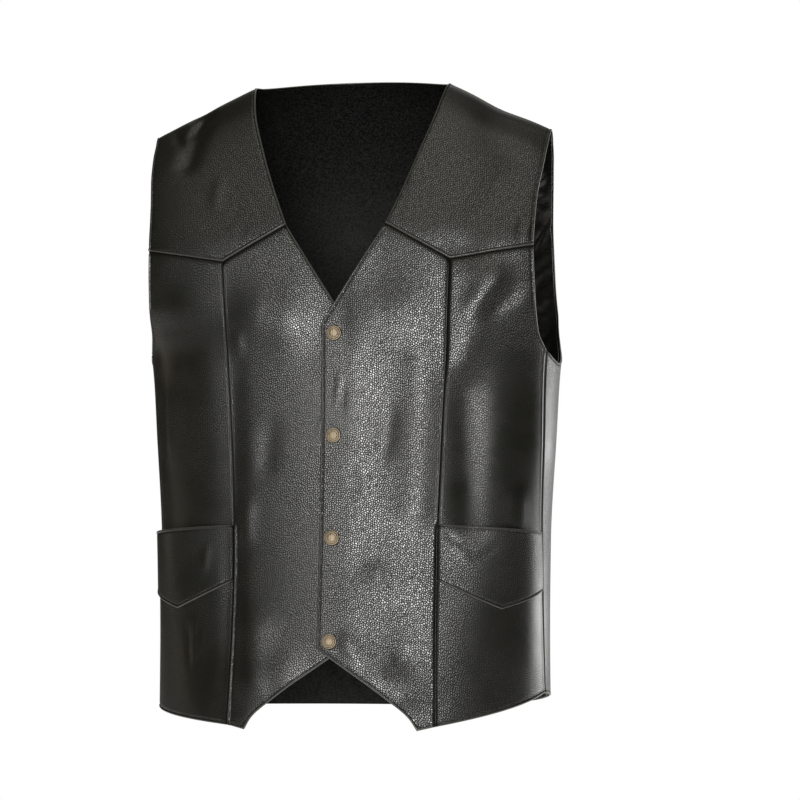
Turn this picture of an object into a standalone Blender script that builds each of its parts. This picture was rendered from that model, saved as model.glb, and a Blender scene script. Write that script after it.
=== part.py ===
"""Leather vest in western cut, filled out as if it was worn, with no wearer inside.

The front faces -Y, the wearer's left is +X and up is +Z. The origin is where the wearer's
shoulders carry the vest: midway between the two shoulder seams.
"""

import math
from collections import namedtuple

import bpy
import numpy as np
from mathutils import Vector

# Walls, seams and layers, in metres
LEATHER = 0.0016
LINING = 0.0010
SEAM_GAP = 0.0003
LAYER_GAP = 0.0006
LINING_GAP = 0.0013
LINING_INSET = 0.003
PATCH_INSET = 0.0012

# Rings of the body from the shoulder ridge down to below the hem. The height is on the centre
# line, the sway moves a ring towards the wearer's left, the slope lets the upper rings fall to
# the sides with the shoulders, and the fullness is higher where a ring has squarer corners.
Ring = namedtuple("Ring", "height sway half_width front back slope front_fullness back_fullness")
RINGS = (
    Ring(0.058, 0.000, 0.216, 0.000, 0.000, 0.50, 0.90, 0.74),
    Ring(0.050, 0.000, 0.217, 0.015, 0.034, 0.50, 0.90, 0.74),
    Ring(0.020, 0.000, 0.222, 0.035, 0.074, 0.43, 0.91, 0.74),
    Ring(-0.030, 0.000, 0.230, 0.055, 0.104, 0.30, 0.90, 0.74),
    Ring(-0.080, 0.0005, 0.234, 0.073, 0.119, 0.20, 0.87, 0.74),
    Ring(-0.125, 0.001, 0.234, 0.088, 0.125, 0.12, 0.83, 0.74),
    Ring(-0.190, 0.002, 0.229, 0.095, 0.127, 0.04, 0.78, 0.73),
    Ring(-0.222, 0.0025, 0.214, 0.097, 0.126, 0.015, 0.75, 0.72),
    Ring(-0.250, 0.003, 0.2065, 0.098, 0.125, 0.00, 0.72, 0.71),
    Ring(-0.330, 0.003, 0.2015, 0.101, 0.118, 0.00, 0.68, 0.68),
    Ring(-0.430, 0.003, 0.196, 0.108, 0.114, 0.00, 0.65, 0.66),
    Ring(-0.530, 0.003, 0.195, 0.120, 0.118, 0.00, 0.63, 0.64),
    Ring(-0.640, 0.003, 0.196, 0.129, 0.122, 0.00, 0.63, 0.64),
)
RIDGE = RINGS[0].height
NECK_ROUND = 0.05

# Edges and seams seen from the front, as x outward from the centre front and z
Seen = namedtuple("Seen", "x z")
LAP = 0.013
LAP_RISE_FROM = 0.050
LAP_RISE_TO = 0.016
PLACKET_TOP = Seen(-LAP, -0.217)
PLACKET_FOOT = Seen(-LAP, -0.536)
YOKE_INNER = Seen(0.050, -0.118)
YOKE_TIP = Seen(0.1145, -0.154)
YOKE_OUTER = Seen(0.1945, -0.141)
NECK_X = 0.0985
SHOULDER_X = 0.203
NECK_EDGE = (YOKE_INNER, Seen(0.066, -0.079), Seen(0.080, -0.040), Seen(0.092, -0.003))
FRONT_ARMHOLE_TOP = (YOKE_OUTER, Seen(0.1965, -0.095), Seen(0.2005, -0.059))
FRONT_ARMHOLE_FOOT = (Seen(0.1955, -0.222), Seen(0.1955, -0.193), Seen(0.195, -0.165), YOKE_OUTER)
FRONT_SEAM = (
    Seen(0.1035, -0.640),
    Seen(0.102, -0.500),
    Seen(0.102, -0.430),
    Seen(0.104, -0.370),
    Seen(0.111, -0.225),
    YOKE_TIP,
)
FRONT_SEAM_BREAK = -0.270
HEM_SLANT = (PLACKET_FOOT, Seen(0.058, -0.5865), Seen(0.0775, -0.603), Seen(0.0855, -0.615))
HEM_SEAM_Z = -0.611
SIDE_HEM_Z = {"left": -0.581, "right": -0.597}
BACK_NECK_Z = 0.0385

# Edges told by the share of a quarter ring: 0 on the centre line, 1 at the side
Told = namedtuple("Told", "share z")
SIDE_SEAM = (Told(0.945, -0.640), Told(0.867, -0.430), Told(0.824, -0.330), Told(0.788, -0.242))
PIT_Z = SIDE_SEAM[-1].z
BACK_ARMHOLE_FOOT = (Told(1.08, -0.2515), Told(1.00, -0.2535), Told(0.90, -0.249), Told(0.78, -0.236))
BACK_CORNER = Seen(0.195, -0.212)
BACK_ARMHOLE_TOP = (
    BACK_CORNER,
    Seen(0.191, -0.170),
    Seen(0.190, -0.120),
    Seen(0.194, -0.070),
)
BACK_HEM_Z = -0.600
BACK_HEM_LEVEL_TO = 0.2

# Pockets
MOUTH_SEAM_Z = -0.415
MOUTH_SIDE_Z = -0.422
PATCH = 0.0012
POCKET_STAND = 0.0082
POCKET_CLOSING = 1.3
POCKET_SIDE_INSET = 0.030
CUFF_GAP = 0.0009
CUFF_SEAM_Z = -0.470
CUFF_TIP = Seen(0.158, -0.498)
CUFF_SIDE_Z = -0.480

# Snaps: a domed cap on the wearer's left front, and a flat back inside the right front. Each
# profile runs up from the rim and ends on the axis.
SNAP_TOP_Z = -0.227
SNAP_PITCH = 0.1007
SNAP_COUNT = 4
Turn = namedtuple("Turn", "radius level")
CAP_PROFILE = (
    Turn(0.0076, 0.0),
    Turn(0.0077, 0.0009),
    Turn(0.0070, 0.0017),
    Turn(0.0050, 0.0026),
    Turn(0.0026, 0.0031),
    Turn(0.0, 0.0033),
)
SNAP_BACK_PROFILE = (
    Turn(0.0050, 0.0),
    Turn(0.0052, 0.0005),
    Turn(0.0044, 0.0010),
    Turn(0.0022, 0.0012),
    Turn(0.0, 0.0013),
)
SNAP_STEPS = 20

# Largest folds: a soft ridge, or a trough where the lift is negative, between two points
Fold = namedtuple("Fold", "side face x_start z_start x_end z_end width lift")
FOLDS = (
    Fold("left", "front", 0.086, -0.255, 0.081, -0.400, 0.018, 0.0030),
    Fold("left", "front", 0.128, -0.140, 0.172, -0.060, 0.020, -0.0035),
    Fold("left", "front", 0.150, 0.000, 0.152, -0.030, 0.026, -0.0035),
    Fold("left", "front", 0.150, -0.175, 0.122, -0.255, 0.018, 0.0030),
    Fold("left", "front", 0.131, -0.285, 0.133, -0.410, 0.018, -0.0028),
    Fold("right", "front", 0.176, -0.190, 0.160, -0.270, 0.020, -0.0012),
    Fold("right", "front", 0.130, -0.270, 0.125, -0.395, 0.024, 0.0025),
    Fold("right", "front", 0.150, -0.005, 0.160, -0.050, 0.012, -0.0035),
    Fold("right", "front", 0.076, -0.520, 0.084, -0.600, 0.018, 0.0028),
    Fold("left", "front", 0.070, -0.500, 0.080, -0.590, 0.020, -0.0022),
    Fold("left", "back", 0.140, -0.190, 0.060, -0.300, 0.022, 0.0028),
    Fold("right", "back", 0.150, -0.200, 0.080, -0.330, 0.020, 0.0030),
    Fold("left", "back", 0.060, -0.400, 0.055, -0.560, 0.024, 0.0028),
    Fold("right", "back", 0.080, -0.430, 0.085, -0.570, 0.024, -0.0025),
)

# Grid counts
PLACKET_ROWS = 13
CHEST_ROWS = 7
CENTRE_COLUMNS = 8
SIDE_COLUMNS = 8
YOKE_ROWS = 9
POCKET_ROWS = 9
CUFF_ROWS = 4
ARMHOLE_COLUMNS = 6
SHOULDER_COLUMNS = 5
NECK_COLUMNS = 8
BACK_ROWS = 10
STEP = 1e-4
HALVINGS = 44


# Lines and tables

def smooth_table(x, xs, ys):
    """Monotone cubic through the points of a table."""
    xs = np.asarray(xs, float)
    ys = np.asarray(ys, float)
    steps = np.diff(xs)
    slopes = np.diff(ys) / steps
    tangents = np.concatenate((slopes[:1], np.zeros(len(slopes) - 1), slopes[-1:]))
    for i in range(1, len(slopes)):
        before, after = slopes[i - 1], slopes[i]
        if before * after > 0:
            first = 2 * steps[i] + steps[i - 1]
            second = steps[i] + 2 * steps[i - 1]
            tangents[i] = (first + second) / (first / before + second / after)
    i = np.clip(np.searchsorted(xs, x) - 1, 0, len(steps) - 1)
    u = (x - xs[i]) / steps[i]
    rise = ys[i] + (3 - 2 * u) * u * u * (ys[i + 1] - ys[i])
    return rise + steps[i] * u * (1 - u) * ((1 - u) * tangents[i] - u * tangents[i + 1])


def straight(points, counts):
    """Points along straight legs, each cut into its count of equal steps."""
    rows = [np.asarray(points[0], float)[None]]
    for start, end, count in zip(points[:-1], points[1:], counts):
        share = np.arange(1, count + 1)[:, None] / count
        rows.append(np.asarray(start) * (1 - share) + np.asarray(end) * share)
    return np.concatenate(rows)


def rounded(points, count):
    """Equal steps along a smooth line through the points."""
    points = np.asarray(points, float)
    reach = np.concatenate(([0], np.cumsum(np.linalg.norm(np.diff(points, axis=0), axis=1))))
    at = np.linspace(0, reach[-1], count + 1)
    return np.stack([smooth_table(at, reach, column) for column in points.T], axis=1)


# The body form

HEIGHTS, SWAYS, WIDTHS, FRONTS, BACKS, SLOPES, FRONT_FULL, BACK_FULL = np.array(RINGS).T
RING_DROPS = np.sqrt(RIDGE - HEIGHTS)


def drop_of(z):
    """Rings are counted by the root of their distance under the ridge, so the ridge is round."""
    return np.sqrt(np.maximum(RIDGE - np.asarray(z, float), 0))


def ring(column, drop):
    return smooth_table(drop, RING_DROPS, column)


def quarter(share, fullness):
    """Outward run of a quarter ring, 0 to 1, as the curve of a four-point handle line."""
    rest = 1 - share
    return 3 * rest**2 * share * fullness + 3 * rest * share**2 + share**3


def fall(x, drop):
    return ring(SLOPES, drop) * (np.hypot(x, NECK_ROUND) - NECK_ROUND)


def body(face, share, drop):
    """Points of the bare form. The share is positive to the wearer's left."""
    reach = np.abs(share)
    own = np.minimum(reach, 2 - reach)
    in_front = (reach <= 1) == (face == "front")
    fullness = np.where(in_front, ring(FRONT_FULL, drop), ring(BACK_FULL, drop))
    x = np.sign(share) * ring(WIDTHS, drop) * quarter(own, fullness)
    y = np.where(in_front, -ring(FRONTS, drop), ring(BACKS, drop)) * quarter(1 - own, fullness)
    z = RIDGE - drop**2 - fall(x, drop)
    return np.stack((x + ring(SWAYS, drop), y, z), axis=-1)


def outward(face, share, drop):
    across = body(face, share + STEP, drop) - body(face, share - STEP, drop)
    down = body(face, share, drop + STEP) - body(face, share, np.maximum(drop - STEP, 0))
    normal = np.cross(down, across) if face == "front" else np.cross(across, down)
    return normal / np.linalg.norm(normal, axis=-1, keepdims=True)


def place(face, seen):
    """Share and drop of points given by x and z."""
    x, z = np.asarray(seen, float).reshape(-1, 2).T
    low, high = np.zeros(len(x)), np.full(len(x), RING_DROPS[-1])
    for _ in range(HALVINGS):
        drop = (low + high) / 2
        too_low = RIDGE - drop**2 - fall(x, drop) < z
        low, high = np.where(too_low, low, drop), np.where(too_low, drop, high)
    fullness = ring(FRONT_FULL if face == "front" else BACK_FULL, drop)
    run = np.abs(x) / ring(WIDTHS, drop)
    low, high = np.zeros(len(x)), np.ones(len(x))
    for _ in range(HALVINGS):
        share = (low + high) / 2
        too_far = quarter(share, fullness) > run
        low, high = np.where(too_far, low, share), np.where(too_far, share, high)
    return np.stack((np.sign(x) * share, drop), axis=1)


def told(rows):
    rows = np.asarray(rows, float)
    return np.stack((rows[:, 0], drop_of(rows[:, 1])), axis=1)


def ridge_place(face, x):
    """The point of the shoulder ridge at this x."""
    share = place(face, (x, RIDGE - fall(x, 0.0) - 1e-9))[0, 0]
    return np.array((share, 0.0))


def fold_line(fold):
    sign = 1 if fold.side == "left" else -1
    ends = place(fold.face, ((fold.x_start, fold.z_start), (fold.x_end, fold.z_end)))
    return body(fold.face, ends[:, 0] * sign, ends[:, 1])


FOLD_LINES = [fold_line(fold) for fold in FOLDS]


def fold_lift(points):
    total = np.zeros(len(points))
    for fold, (start, end) in zip(FOLDS, FOLD_LINES):
        line = end - start
        along = np.clip((points - start) @ line / (line @ line), 0, 1)
        apart = np.linalg.norm(points - start - along[:, None] * line, axis=1)
        total += fold.lift * np.exp(-((apart / fold.width) ** 2))
    return total


# Seams shared by the pieces, each from its lower end to its upper end or from the centre out

def front_seam_x(z):
    rows = np.array(FRONT_SEAM)
    return smooth_table(z, rows[:, 1], rows[:, 0])


def side_share(z):
    rows = np.array(SIDE_SEAM)
    return smooth_table(z, rows[:, 1], rows[:, 0])


def front_seam(z):
    return place("front", np.stack((front_seam_x(z), z), axis=1))


def side_seam(z):
    return told(np.stack((side_share(z), z), axis=1))


def even_drops(line, count):
    """A line sampled at equal steps of drop, from its first point to its last."""
    drops = np.linspace(line[0, 1], line[-1, 1], count + 1)
    order = np.argsort(line[:, 1])
    return np.stack((np.interp(drops, line[order, 1], line[order, 0]), drops), axis=1)


def top_edge(face, seen, ridge_x, count):
    """An edge that runs up through the seen points and ends on the ridge."""
    end = Seen(ridge_x, RIDGE - fall(ridge_x, 0.0))
    line = place(face, rounded((*seen, end), 200))
    line[-1] = ridge_place(face, ridge_x)
    return even_drops(line, count)


def yoke_legs():
    inner = place("front", straight((YOKE_INNER, YOKE_TIP), (CENTRE_COLUMNS,)))
    outer = place("front", straight((YOKE_TIP, YOKE_OUTER), (SIDE_COLUMNS,)))
    return inner, outer


def front_armhole_foot():
    pit = side_seam(np.array([PIT_Z]))
    at = body("front", *pit.T)[0]
    pit_seen = Seen(at[0] - ring(SWAYS, pit[0, 1]), at[2])
    line = place("front", rounded((pit_seen, *FRONT_ARMHOLE_FOOT), CHEST_ROWS))
    line[0] = pit[0]
    return line


def front_seam_rows():
    lower = np.linspace(HEM_SEAM_Z, FRONT_SEAM_BREAK, PLACKET_ROWS + 1)
    upper = np.linspace(FRONT_SEAM_BREAK, YOKE_TIP.z, CHEST_ROWS + 1)
    return front_seam(np.concatenate((lower, upper[1:])))


def hem_outer(side, columns):
    """Hem from the long front seam to the side seam."""
    ends = np.concatenate((front_seam(np.array([HEM_SEAM_Z])), side_seam(np.array([SIDE_HEM_Z[side]]))))
    return straight(ends, (columns,))


def coons(bottom, top, left, right):
    """Grid of share and drop filled in between four edges, rows from the bottom up."""
    u = np.linspace(0, 1, len(bottom))[None, :, None]
    v = np.linspace(0, 1, len(left))[:, None, None]
    across = (1 - u) * left[:, None] + u * right[:, None]
    upward = (1 - v) * bottom[None] + v * top[None]
    corners = (1 - v) * ((1 - u) * bottom[0] + u * bottom[-1]) + v * ((1 - u) * top[0] + u * top[-1])
    return across + upward - corners


# Cloth walls

Sheet = namedtuple("Sheet", "face share drop quads")


def grid_quads(rows, columns, first=0):
    quads = []
    for i in range(rows):
        for j in range(columns):
            a = first + i * (columns + 1) + j
            quads.append((a, a + 1, a + columns + 2, a + columns + 1))
    return quads


def sheet_of(face, grid, side="left"):
    """A sheet on the form from a grid made for the wearer's left side."""
    rows, columns = grid.shape[0] - 1, grid.shape[1] - 1
    quads = grid_quads(rows, columns)
    if side == "right":
        quads = [quad[::-1] for quad in quads]
    sign = 1 if side == "left" else -1
    return Sheet(face, sign * grid[..., 0].ravel(), grid[..., 1].ravel(), quads)


def rim_of(quads):
    """Edges that only one face has, in that face's direction."""
    edges = {(quad[i], quad[(i + 1) % 4]) for quad in quads for i in range(4)}
    return [(a, b) for a, b in edges if (b, a) not in edges]


def inset_move(points, normals, rim):
    """Moves that bring each rim point one unit in from its edges, along the cloth."""
    before, after = {}, {}
    for a, b in rim:
        inward = np.cross((normals[a] + normals[b]) / 2, points[b] - points[a])
        inward /= np.linalg.norm(inward)
        after[a] = inward
        before[b] = inward
    moves = np.zeros_like(points)
    for a in after:
        both = before[a] + after[a]
        moves[a] = both / (1 + before[a] @ after[a])
    return moves


def cloth_wall(name, material, sheet, inner, thickness, inset=SEAM_GAP / 2):
    """A closed wall whose inner side lies a given distance out from the form."""
    points = body(sheet.face, sheet.share, sheet.drop)
    normals = outward(sheet.face, sheet.share, sheet.drop)
    lift = fold_lift(points) + inner
    rim = rim_of(sheet.quads)
    points = points + inset * inset_move(points, normals, rim)
    low = points + normals * lift[:, None]
    high = low + normals * thickness
    count = len(points)
    triangles = [(a, b, c) for a, b, c, _ in sheet.quads] + [(a, c, d) for a, _, c, d in sheet.quads]
    faces = [tuple(count + i for i in triangle) for triangle in triangles]
    faces += [triangle[::-1] for triangle in triangles]
    faces += [(count + b, count + a, a, b) for a, b in rim]
    return add_mesh(name, material, np.concatenate((low, high)).tolist(), faces)


def add_mesh(name, material, points, faces):
    mesh = bpy.data.meshes.new(name)
    mesh.from_pydata(points, [], faces)
    mesh.shade_smooth()
    mesh.set_sharp_from_angle(angle=math.radians(40))
    mesh.materials.append(material)
    made = bpy.data.objects.new(name, mesh)
    bpy.context.scene.collection.objects.link(made)
    return made


def plain_material(name, colour, roughness, metallic=0.0):
    material = bpy.data.materials.new(name)
    material.use_nodes = True
    shader = material.node_tree.nodes["Principled BSDF"]
    shader.inputs["Base Color"].default_value = (*colour, 1.0)
    shader.inputs["Roughness"].default_value = roughness
    shader.inputs["Metallic"].default_value = metallic
    return material


# Layers over the form

def ease(x):
    x = np.clip(x, 0, 1)
    return x * x * (3 - 2 * x)


def lap_lift(share, drop):
    """The wearer's left front rises over the right one near the centre."""
    x = body("front", share, drop)[:, 0] - ring(SWAYS, drop)
    return (LEATHER + LAYER_GAP) * ease((LAP_RISE_FROM - x) / (LAP_RISE_FROM - LAP_RISE_TO))


def pocket_place(share, drop):
    """Where a point lies in its pocket: 0 to 1 from seam to side, and from mouth to hem."""
    z = RIDGE - drop**2
    seam = front_seam(z)[:, 0]
    across = (np.abs(share) - seam) / (side_share(z) - POCKET_SIDE_INSET - seam)
    mouth = MOUTH_SEAM_Z + across * (MOUTH_SIDE_Z - MOUTH_SEAM_Z)
    return np.clip(across, 0, 1), np.clip((mouth - z) / (mouth - HEM_SEAM_Z), 0, 1)


def pocket_lift(share, drop):
    """The pocket stands off its panel at the mouth and lies on it at the seams and the hem."""
    across, down = pocket_place(share, drop)
    return LEATHER + LAYER_GAP + POCKET_STAND * np.sin(math.pi * across) * (1 - down) ** POCKET_CLOSING


# Pieces

def centre_front(side, leather):
    left = np.concatenate((
        place("front", straight((PLACKET_FOOT, PLACKET_TOP), (PLACKET_ROWS,))),
        place("front", straight((PLACKET_TOP, YOKE_INNER), (CHEST_ROWS,)))[1:],
    ))
    seam_foot = Seen(float(front_seam_x(HEM_SEAM_Z)), HEM_SEAM_Z)
    bottom = place("front", straight((*HEM_SLANT, seam_foot), (CENTRE_COLUMNS - 4, 2, 1, 1)))
    top = yoke_legs()[0]
    grid = coons(bottom, top, left, front_seam_rows())
    sheet = sheet_of("front", grid, side)
    inner = lap_lift(sheet.share, sheet.drop) if side == "left" else 0.0
    return cloth_wall(f"front_centre_{side}", leather, sheet, inner, LEATHER)


def side_front(side, leather):
    seam = side_seam(np.linspace(SIDE_HEM_Z[side], PIT_Z, PLACKET_ROWS + 1))
    right = np.concatenate((seam, front_armhole_foot()[1:]))
    grid = coons(hem_outer(side, SIDE_COLUMNS), yoke_legs()[1], front_seam_rows(), right)
    return cloth_wall(f"front_side_{side}", leather, sheet_of("front", grid, side), 0.0, LEATHER)


def yoke(side, leather):
    inner, outer = yoke_legs()
    bottom = np.concatenate((inner, outer[1:]))
    left = top_edge("front", NECK_EDGE, NECK_X, YOKE_ROWS)
    right = top_edge("front", FRONT_ARMHOLE_TOP, SHOULDER_X, YOKE_ROWS)
    top = straight((left[-1], right[-1]), (CENTRE_COLUMNS + SIDE_COLUMNS,))
    grid = coons(bottom, top, left, right)
    return cloth_wall(f"yoke_{side}", leather, sheet_of("front", grid, side), 0.0, LEATHER)


def back_sheet():
    """The back in two joined grids: from hem to armhole foot, and from there to the shoulders."""
    corner = place("back", BACK_CORNER)[0]
    flip = np.array((-1.0, 1.0))
    foot = told(BACK_ARMHOLE_FOOT)
    seam_top = side_seam(np.array([PIT_Z]))[0] * flip + (2, 0)
    armhole = rounded((seam_top, *foot, corner), ARMHOLE_COLUMNS)
    middle = straight((corner * flip, corner), (2 * SHOULDER_COLUMNS + NECK_COLUMNS,))
    waist_line = np.concatenate((armhole * flip, middle[1:-1], armhole[::-1]))
    sides = {}
    for side in ("left", "right"):
        seam = side_seam(np.linspace(SIDE_HEM_Z[side], PIT_Z, PLACKET_ROWS + 1)) * flip + (2, 0)
        sides[side] = seam if side == "left" else seam * flip
    hem_share = waist_line[:, 0] * sides["left"][0, 0] / seam_top[0]
    hem_ends = (SIDE_HEM_Z["right"], BACK_HEM_Z, BACK_HEM_Z, SIDE_HEM_Z["left"])
    hem_at = (hem_share[0], hem_share[0] / 2, BACK_HEM_LEVEL_TO, hem_share[-1])
    hem = told(np.stack((hem_share, smooth_table(hem_share, hem_at, hem_ends)), axis=1))
    lower = coons(hem, waist_line, sides["right"], sides["left"])
    edge = top_edge("back", BACK_ARMHOLE_TOP, SHOULDER_X, BACK_ROWS)
    edge[0] = corner
    neck_x = np.linspace(-NECK_X, NECK_X, NECK_COLUMNS + 1)[1:-1]
    neck_point_z = RIDGE - fall(NECK_X, 0.0)
    neck_z = BACK_NECK_Z - (BACK_NECK_Z - neck_point_z) * (neck_x / NECK_X) ** 2
    neck = place("back", np.stack((neck_x, neck_z), axis=1))
    shoulder = straight((ridge_place("back", SHOULDER_X), ridge_place("back", NECK_X)), (SHOULDER_COLUMNS,))
    top = np.concatenate((shoulder * flip, neck, shoulder[::-1]))
    upper = coons(middle, top, edge * flip, edge)
    return joined_back(lower, upper)


def joined_back(lower, upper):
    rows, columns = lower.shape[0] - 1, lower.shape[1] - 1
    upper_columns = upper.shape[1] - 1
    quads = grid_quads(rows, columns)
    first = lower[..., 0].size - (upper_columns + 1)
    upper_quads = grid_quads(upper.shape[0] - 1, upper_columns, first)
    shared = rows * (columns + 1) + ARMHOLE_COLUMNS
    move = {first + j: shared + j for j in range(upper_columns + 1)}
    quads += [tuple(move.get(i, i) for i in quad) for quad in upper_quads]
    spots = np.concatenate((lower.reshape(-1, 2), upper[1:].reshape(-1, 2)))
    return Sheet("back", spots[:, 0], spots[:, 1], [quad[::-1] for quad in quads])


def pocket_edges(z_seam_low, z_side_low, rows):
    """The two upright edges of a pocket piece, up to the mouth."""
    seam = front_seam(np.linspace(z_seam_low, MOUTH_SEAM_Z, rows + 1))
    out = side_seam(np.linspace(z_side_low, MOUTH_SIDE_Z, rows + 1)) - (POCKET_SIDE_INSET, 0)
    return seam, out


def pocket(side, leather):
    seam, out = pocket_edges(HEM_SEAM_Z, SIDE_HEM_Z[side], POCKET_ROWS)
    hem = straight((seam[0], out[0]), (SIDE_COLUMNS,))
    mouth = straight((seam[-1], out[-1]), (SIDE_COLUMNS,))
    sheet = sheet_of("front", coons(hem, mouth, seam, out), side)
    lift = pocket_lift(sheet.share, sheet.drop)
    return cloth_wall(f"pocket_{side}", leather, sheet, lift, PATCH, PATCH_INSET)


def pocket_cuff(side, leather):
    seam, out = pocket_edges(CUFF_SEAM_Z, CUFF_SIDE_Z, CUFF_ROWS)
    mouth = straight((seam[-1], out[-1]), (SIDE_COLUMNS,))
    start = Seen(float(front_seam_x(CUFF_SEAM_Z)), CUFF_SEAM_Z)
    inner = place("front", straight((start, CUFF_TIP), (SIDE_COLUMNS // 2,)))
    outer = straight((inner[-1], out[0]), (SIDE_COLUMNS // 2,))
    bottom = np.concatenate((inner, outer[1:]))
    sheet = sheet_of("front", coons(bottom, mouth, seam, out), side)
    lift = pocket_lift(sheet.share, sheet.drop) + PATCH + CUFF_GAP
    return cloth_wall(f"pocket_cuff_{side}", leather, sheet, lift, PATCH, PATCH_INSET)


def turned(name, material, profile):
    """A round piece from its profile, flat underneath."""
    points, faces = [], []
    *rims, peak = profile
    for rim in rims:
        for i in range(SNAP_STEPS):
            turn = 2 * math.pi * i / SNAP_STEPS
            points.append((rim.radius * math.cos(turn), rim.radius * math.sin(turn), rim.level))
    for k in range(len(rims) - 1):
        for i in range(SNAP_STEPS):
            a = k * SNAP_STEPS + i
            b = k * SNAP_STEPS + (i + 1) % SNAP_STEPS
            faces.append((a, b, b + SNAP_STEPS, a + SNAP_STEPS))
    last = (len(rims) - 1) * SNAP_STEPS
    points.append((0.0, 0.0, peak.level))
    for i in range(SNAP_STEPS):
        faces.append((last + i, last + (i + 1) % SNAP_STEPS, len(points) - 1))
    faces.append(tuple(range(SNAP_STEPS))[::-1])
    return add_mesh(name, material, points, faces)


def snap(number, metal):
    """The two halves that show of one snap, on the centre line."""
    share, drop = place("front", (0.0, SNAP_TOP_Z - (number - 1) * SNAP_PITCH)).T
    normal = outward("front", share, drop)[0]
    form = body("front", share, drop)[0]
    cap = turned(f"snap_cap_{number}", metal, CAP_PROFILE)
    cap.location = form + normal * (lap_lift(share, drop)[0] + LEATHER + SEAM_GAP)
    cap.rotation_euler = Vector(normal).to_track_quat("Z", "Y").to_euler()
    flat = turned(f"snap_back_{number}", metal, SNAP_BACK_PROFILE)
    flat.location = form - normal * SEAM_GAP
    flat.rotation_euler = Vector(-normal).to_track_quat("Z", "Y").to_euler()
    return [cap, flat]


def build():
    for old in list(bpy.data.objects):
        bpy.data.objects.remove(old)
    leather = plain_material("black_leather", (0.012, 0.012, 0.011), 0.45)
    lining = plain_material("black_lining", (0.010, 0.010, 0.011), 0.35)
    metal = plain_material("aged_brass", (0.55, 0.47, 0.34), 0.38, 1.0)
    pieces = []
    for side in ("left", "right"):
        pieces.append(yoke(side, leather))
        pieces.append(centre_front(side, leather))
        pieces.append(side_front(side, leather))
        pieces.append(pocket(side, leather))
        pieces.append(pocket_cuff(side, leather))
    sheet = back_sheet()
    pieces.append(cloth_wall("back", leather, sheet, 0.0, LEATHER))
    pieces.append(cloth_wall("back_lining", lining, sheet, -LINING_GAP - LINING, LINING, LINING_INSET))
    for number in range(1, SNAP_COUNT + 1):
        pieces += snap(number, metal)
    vest = bpy.data.objects.new("vest", None)
    bpy.context.scene.collection.objects.link(vest)
    for piece in pieces:
        piece.parent = vest


build()
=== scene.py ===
"""Looks of the black leather vest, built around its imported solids.

The form, the seams and the folds named FOLDS repeat the sizes of the solids, so each piece lies
where its solid is. Panels are closed shells with turned, stitched or lapped edges and grain. The
creases, and the way the pockets' bulge leans, are in this script alone.
The front faces -Y, the wearer's left is +X and up is +Z.
"""

import math
from collections import namedtuple

import bpy
import numpy as np
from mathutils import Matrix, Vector
from mathutils.kdtree import KDTree


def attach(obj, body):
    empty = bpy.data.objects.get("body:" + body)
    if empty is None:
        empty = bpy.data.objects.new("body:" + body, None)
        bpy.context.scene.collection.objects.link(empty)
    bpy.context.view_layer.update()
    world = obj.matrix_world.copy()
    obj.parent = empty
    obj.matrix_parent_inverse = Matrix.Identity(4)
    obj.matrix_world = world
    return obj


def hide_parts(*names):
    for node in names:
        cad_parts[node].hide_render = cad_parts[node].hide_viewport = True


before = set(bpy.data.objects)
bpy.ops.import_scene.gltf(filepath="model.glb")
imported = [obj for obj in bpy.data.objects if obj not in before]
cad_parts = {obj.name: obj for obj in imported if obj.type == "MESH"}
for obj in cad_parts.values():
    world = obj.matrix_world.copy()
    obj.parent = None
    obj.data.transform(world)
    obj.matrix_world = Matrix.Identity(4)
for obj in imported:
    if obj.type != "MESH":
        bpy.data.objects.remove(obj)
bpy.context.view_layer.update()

# Walls and layers, in metres
LEATHER = 0.0016
PATCH = 0.0012
LINING = 0.0006
LAYER_GAP = 0.0006
LINING_GAP = 0.0016
CUFF_GAP = 0.0009
FACING_WIDTH = 0.042

# Rings of the body, from the shoulder ridge down to below the hem
Ring = namedtuple("Ring", "height sway half_width front back slope front_fullness back_fullness")
RINGS = (
    Ring(0.058, 0.000, 0.216, 0.000, 0.000, 0.50, 0.90, 0.74),
    Ring(0.050, 0.000, 0.217, 0.015, 0.034, 0.50, 0.90, 0.74),
    Ring(0.020, 0.000, 0.222, 0.035, 0.074, 0.43, 0.91, 0.74),
    Ring(-0.030, 0.000, 0.230, 0.055, 0.104, 0.30, 0.90, 0.74),
    Ring(-0.080, 0.0005, 0.234, 0.073, 0.119, 0.20, 0.87, 0.74),
    Ring(-0.125, 0.001, 0.234, 0.088, 0.125, 0.12, 0.83, 0.74),
    Ring(-0.190, 0.002, 0.229, 0.095, 0.127, 0.04, 0.78, 0.73),
    Ring(-0.222, 0.0025, 0.214, 0.097, 0.126, 0.015, 0.75, 0.72),
    Ring(-0.250, 0.003, 0.2065, 0.098, 0.125, 0.00, 0.72, 0.71),
    Ring(-0.330, 0.003, 0.2015, 0.101, 0.118, 0.00, 0.68, 0.68),
    Ring(-0.430, 0.003, 0.196, 0.108, 0.114, 0.00, 0.65, 0.66),
    Ring(-0.530, 0.003, 0.195, 0.120, 0.118, 0.00, 0.63, 0.64),
    Ring(-0.640, 0.003, 0.196, 0.129, 0.122, 0.00, 0.63, 0.64),
)
RIDGE = RINGS[0].height
NECK_ROUND = 0.05

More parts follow.
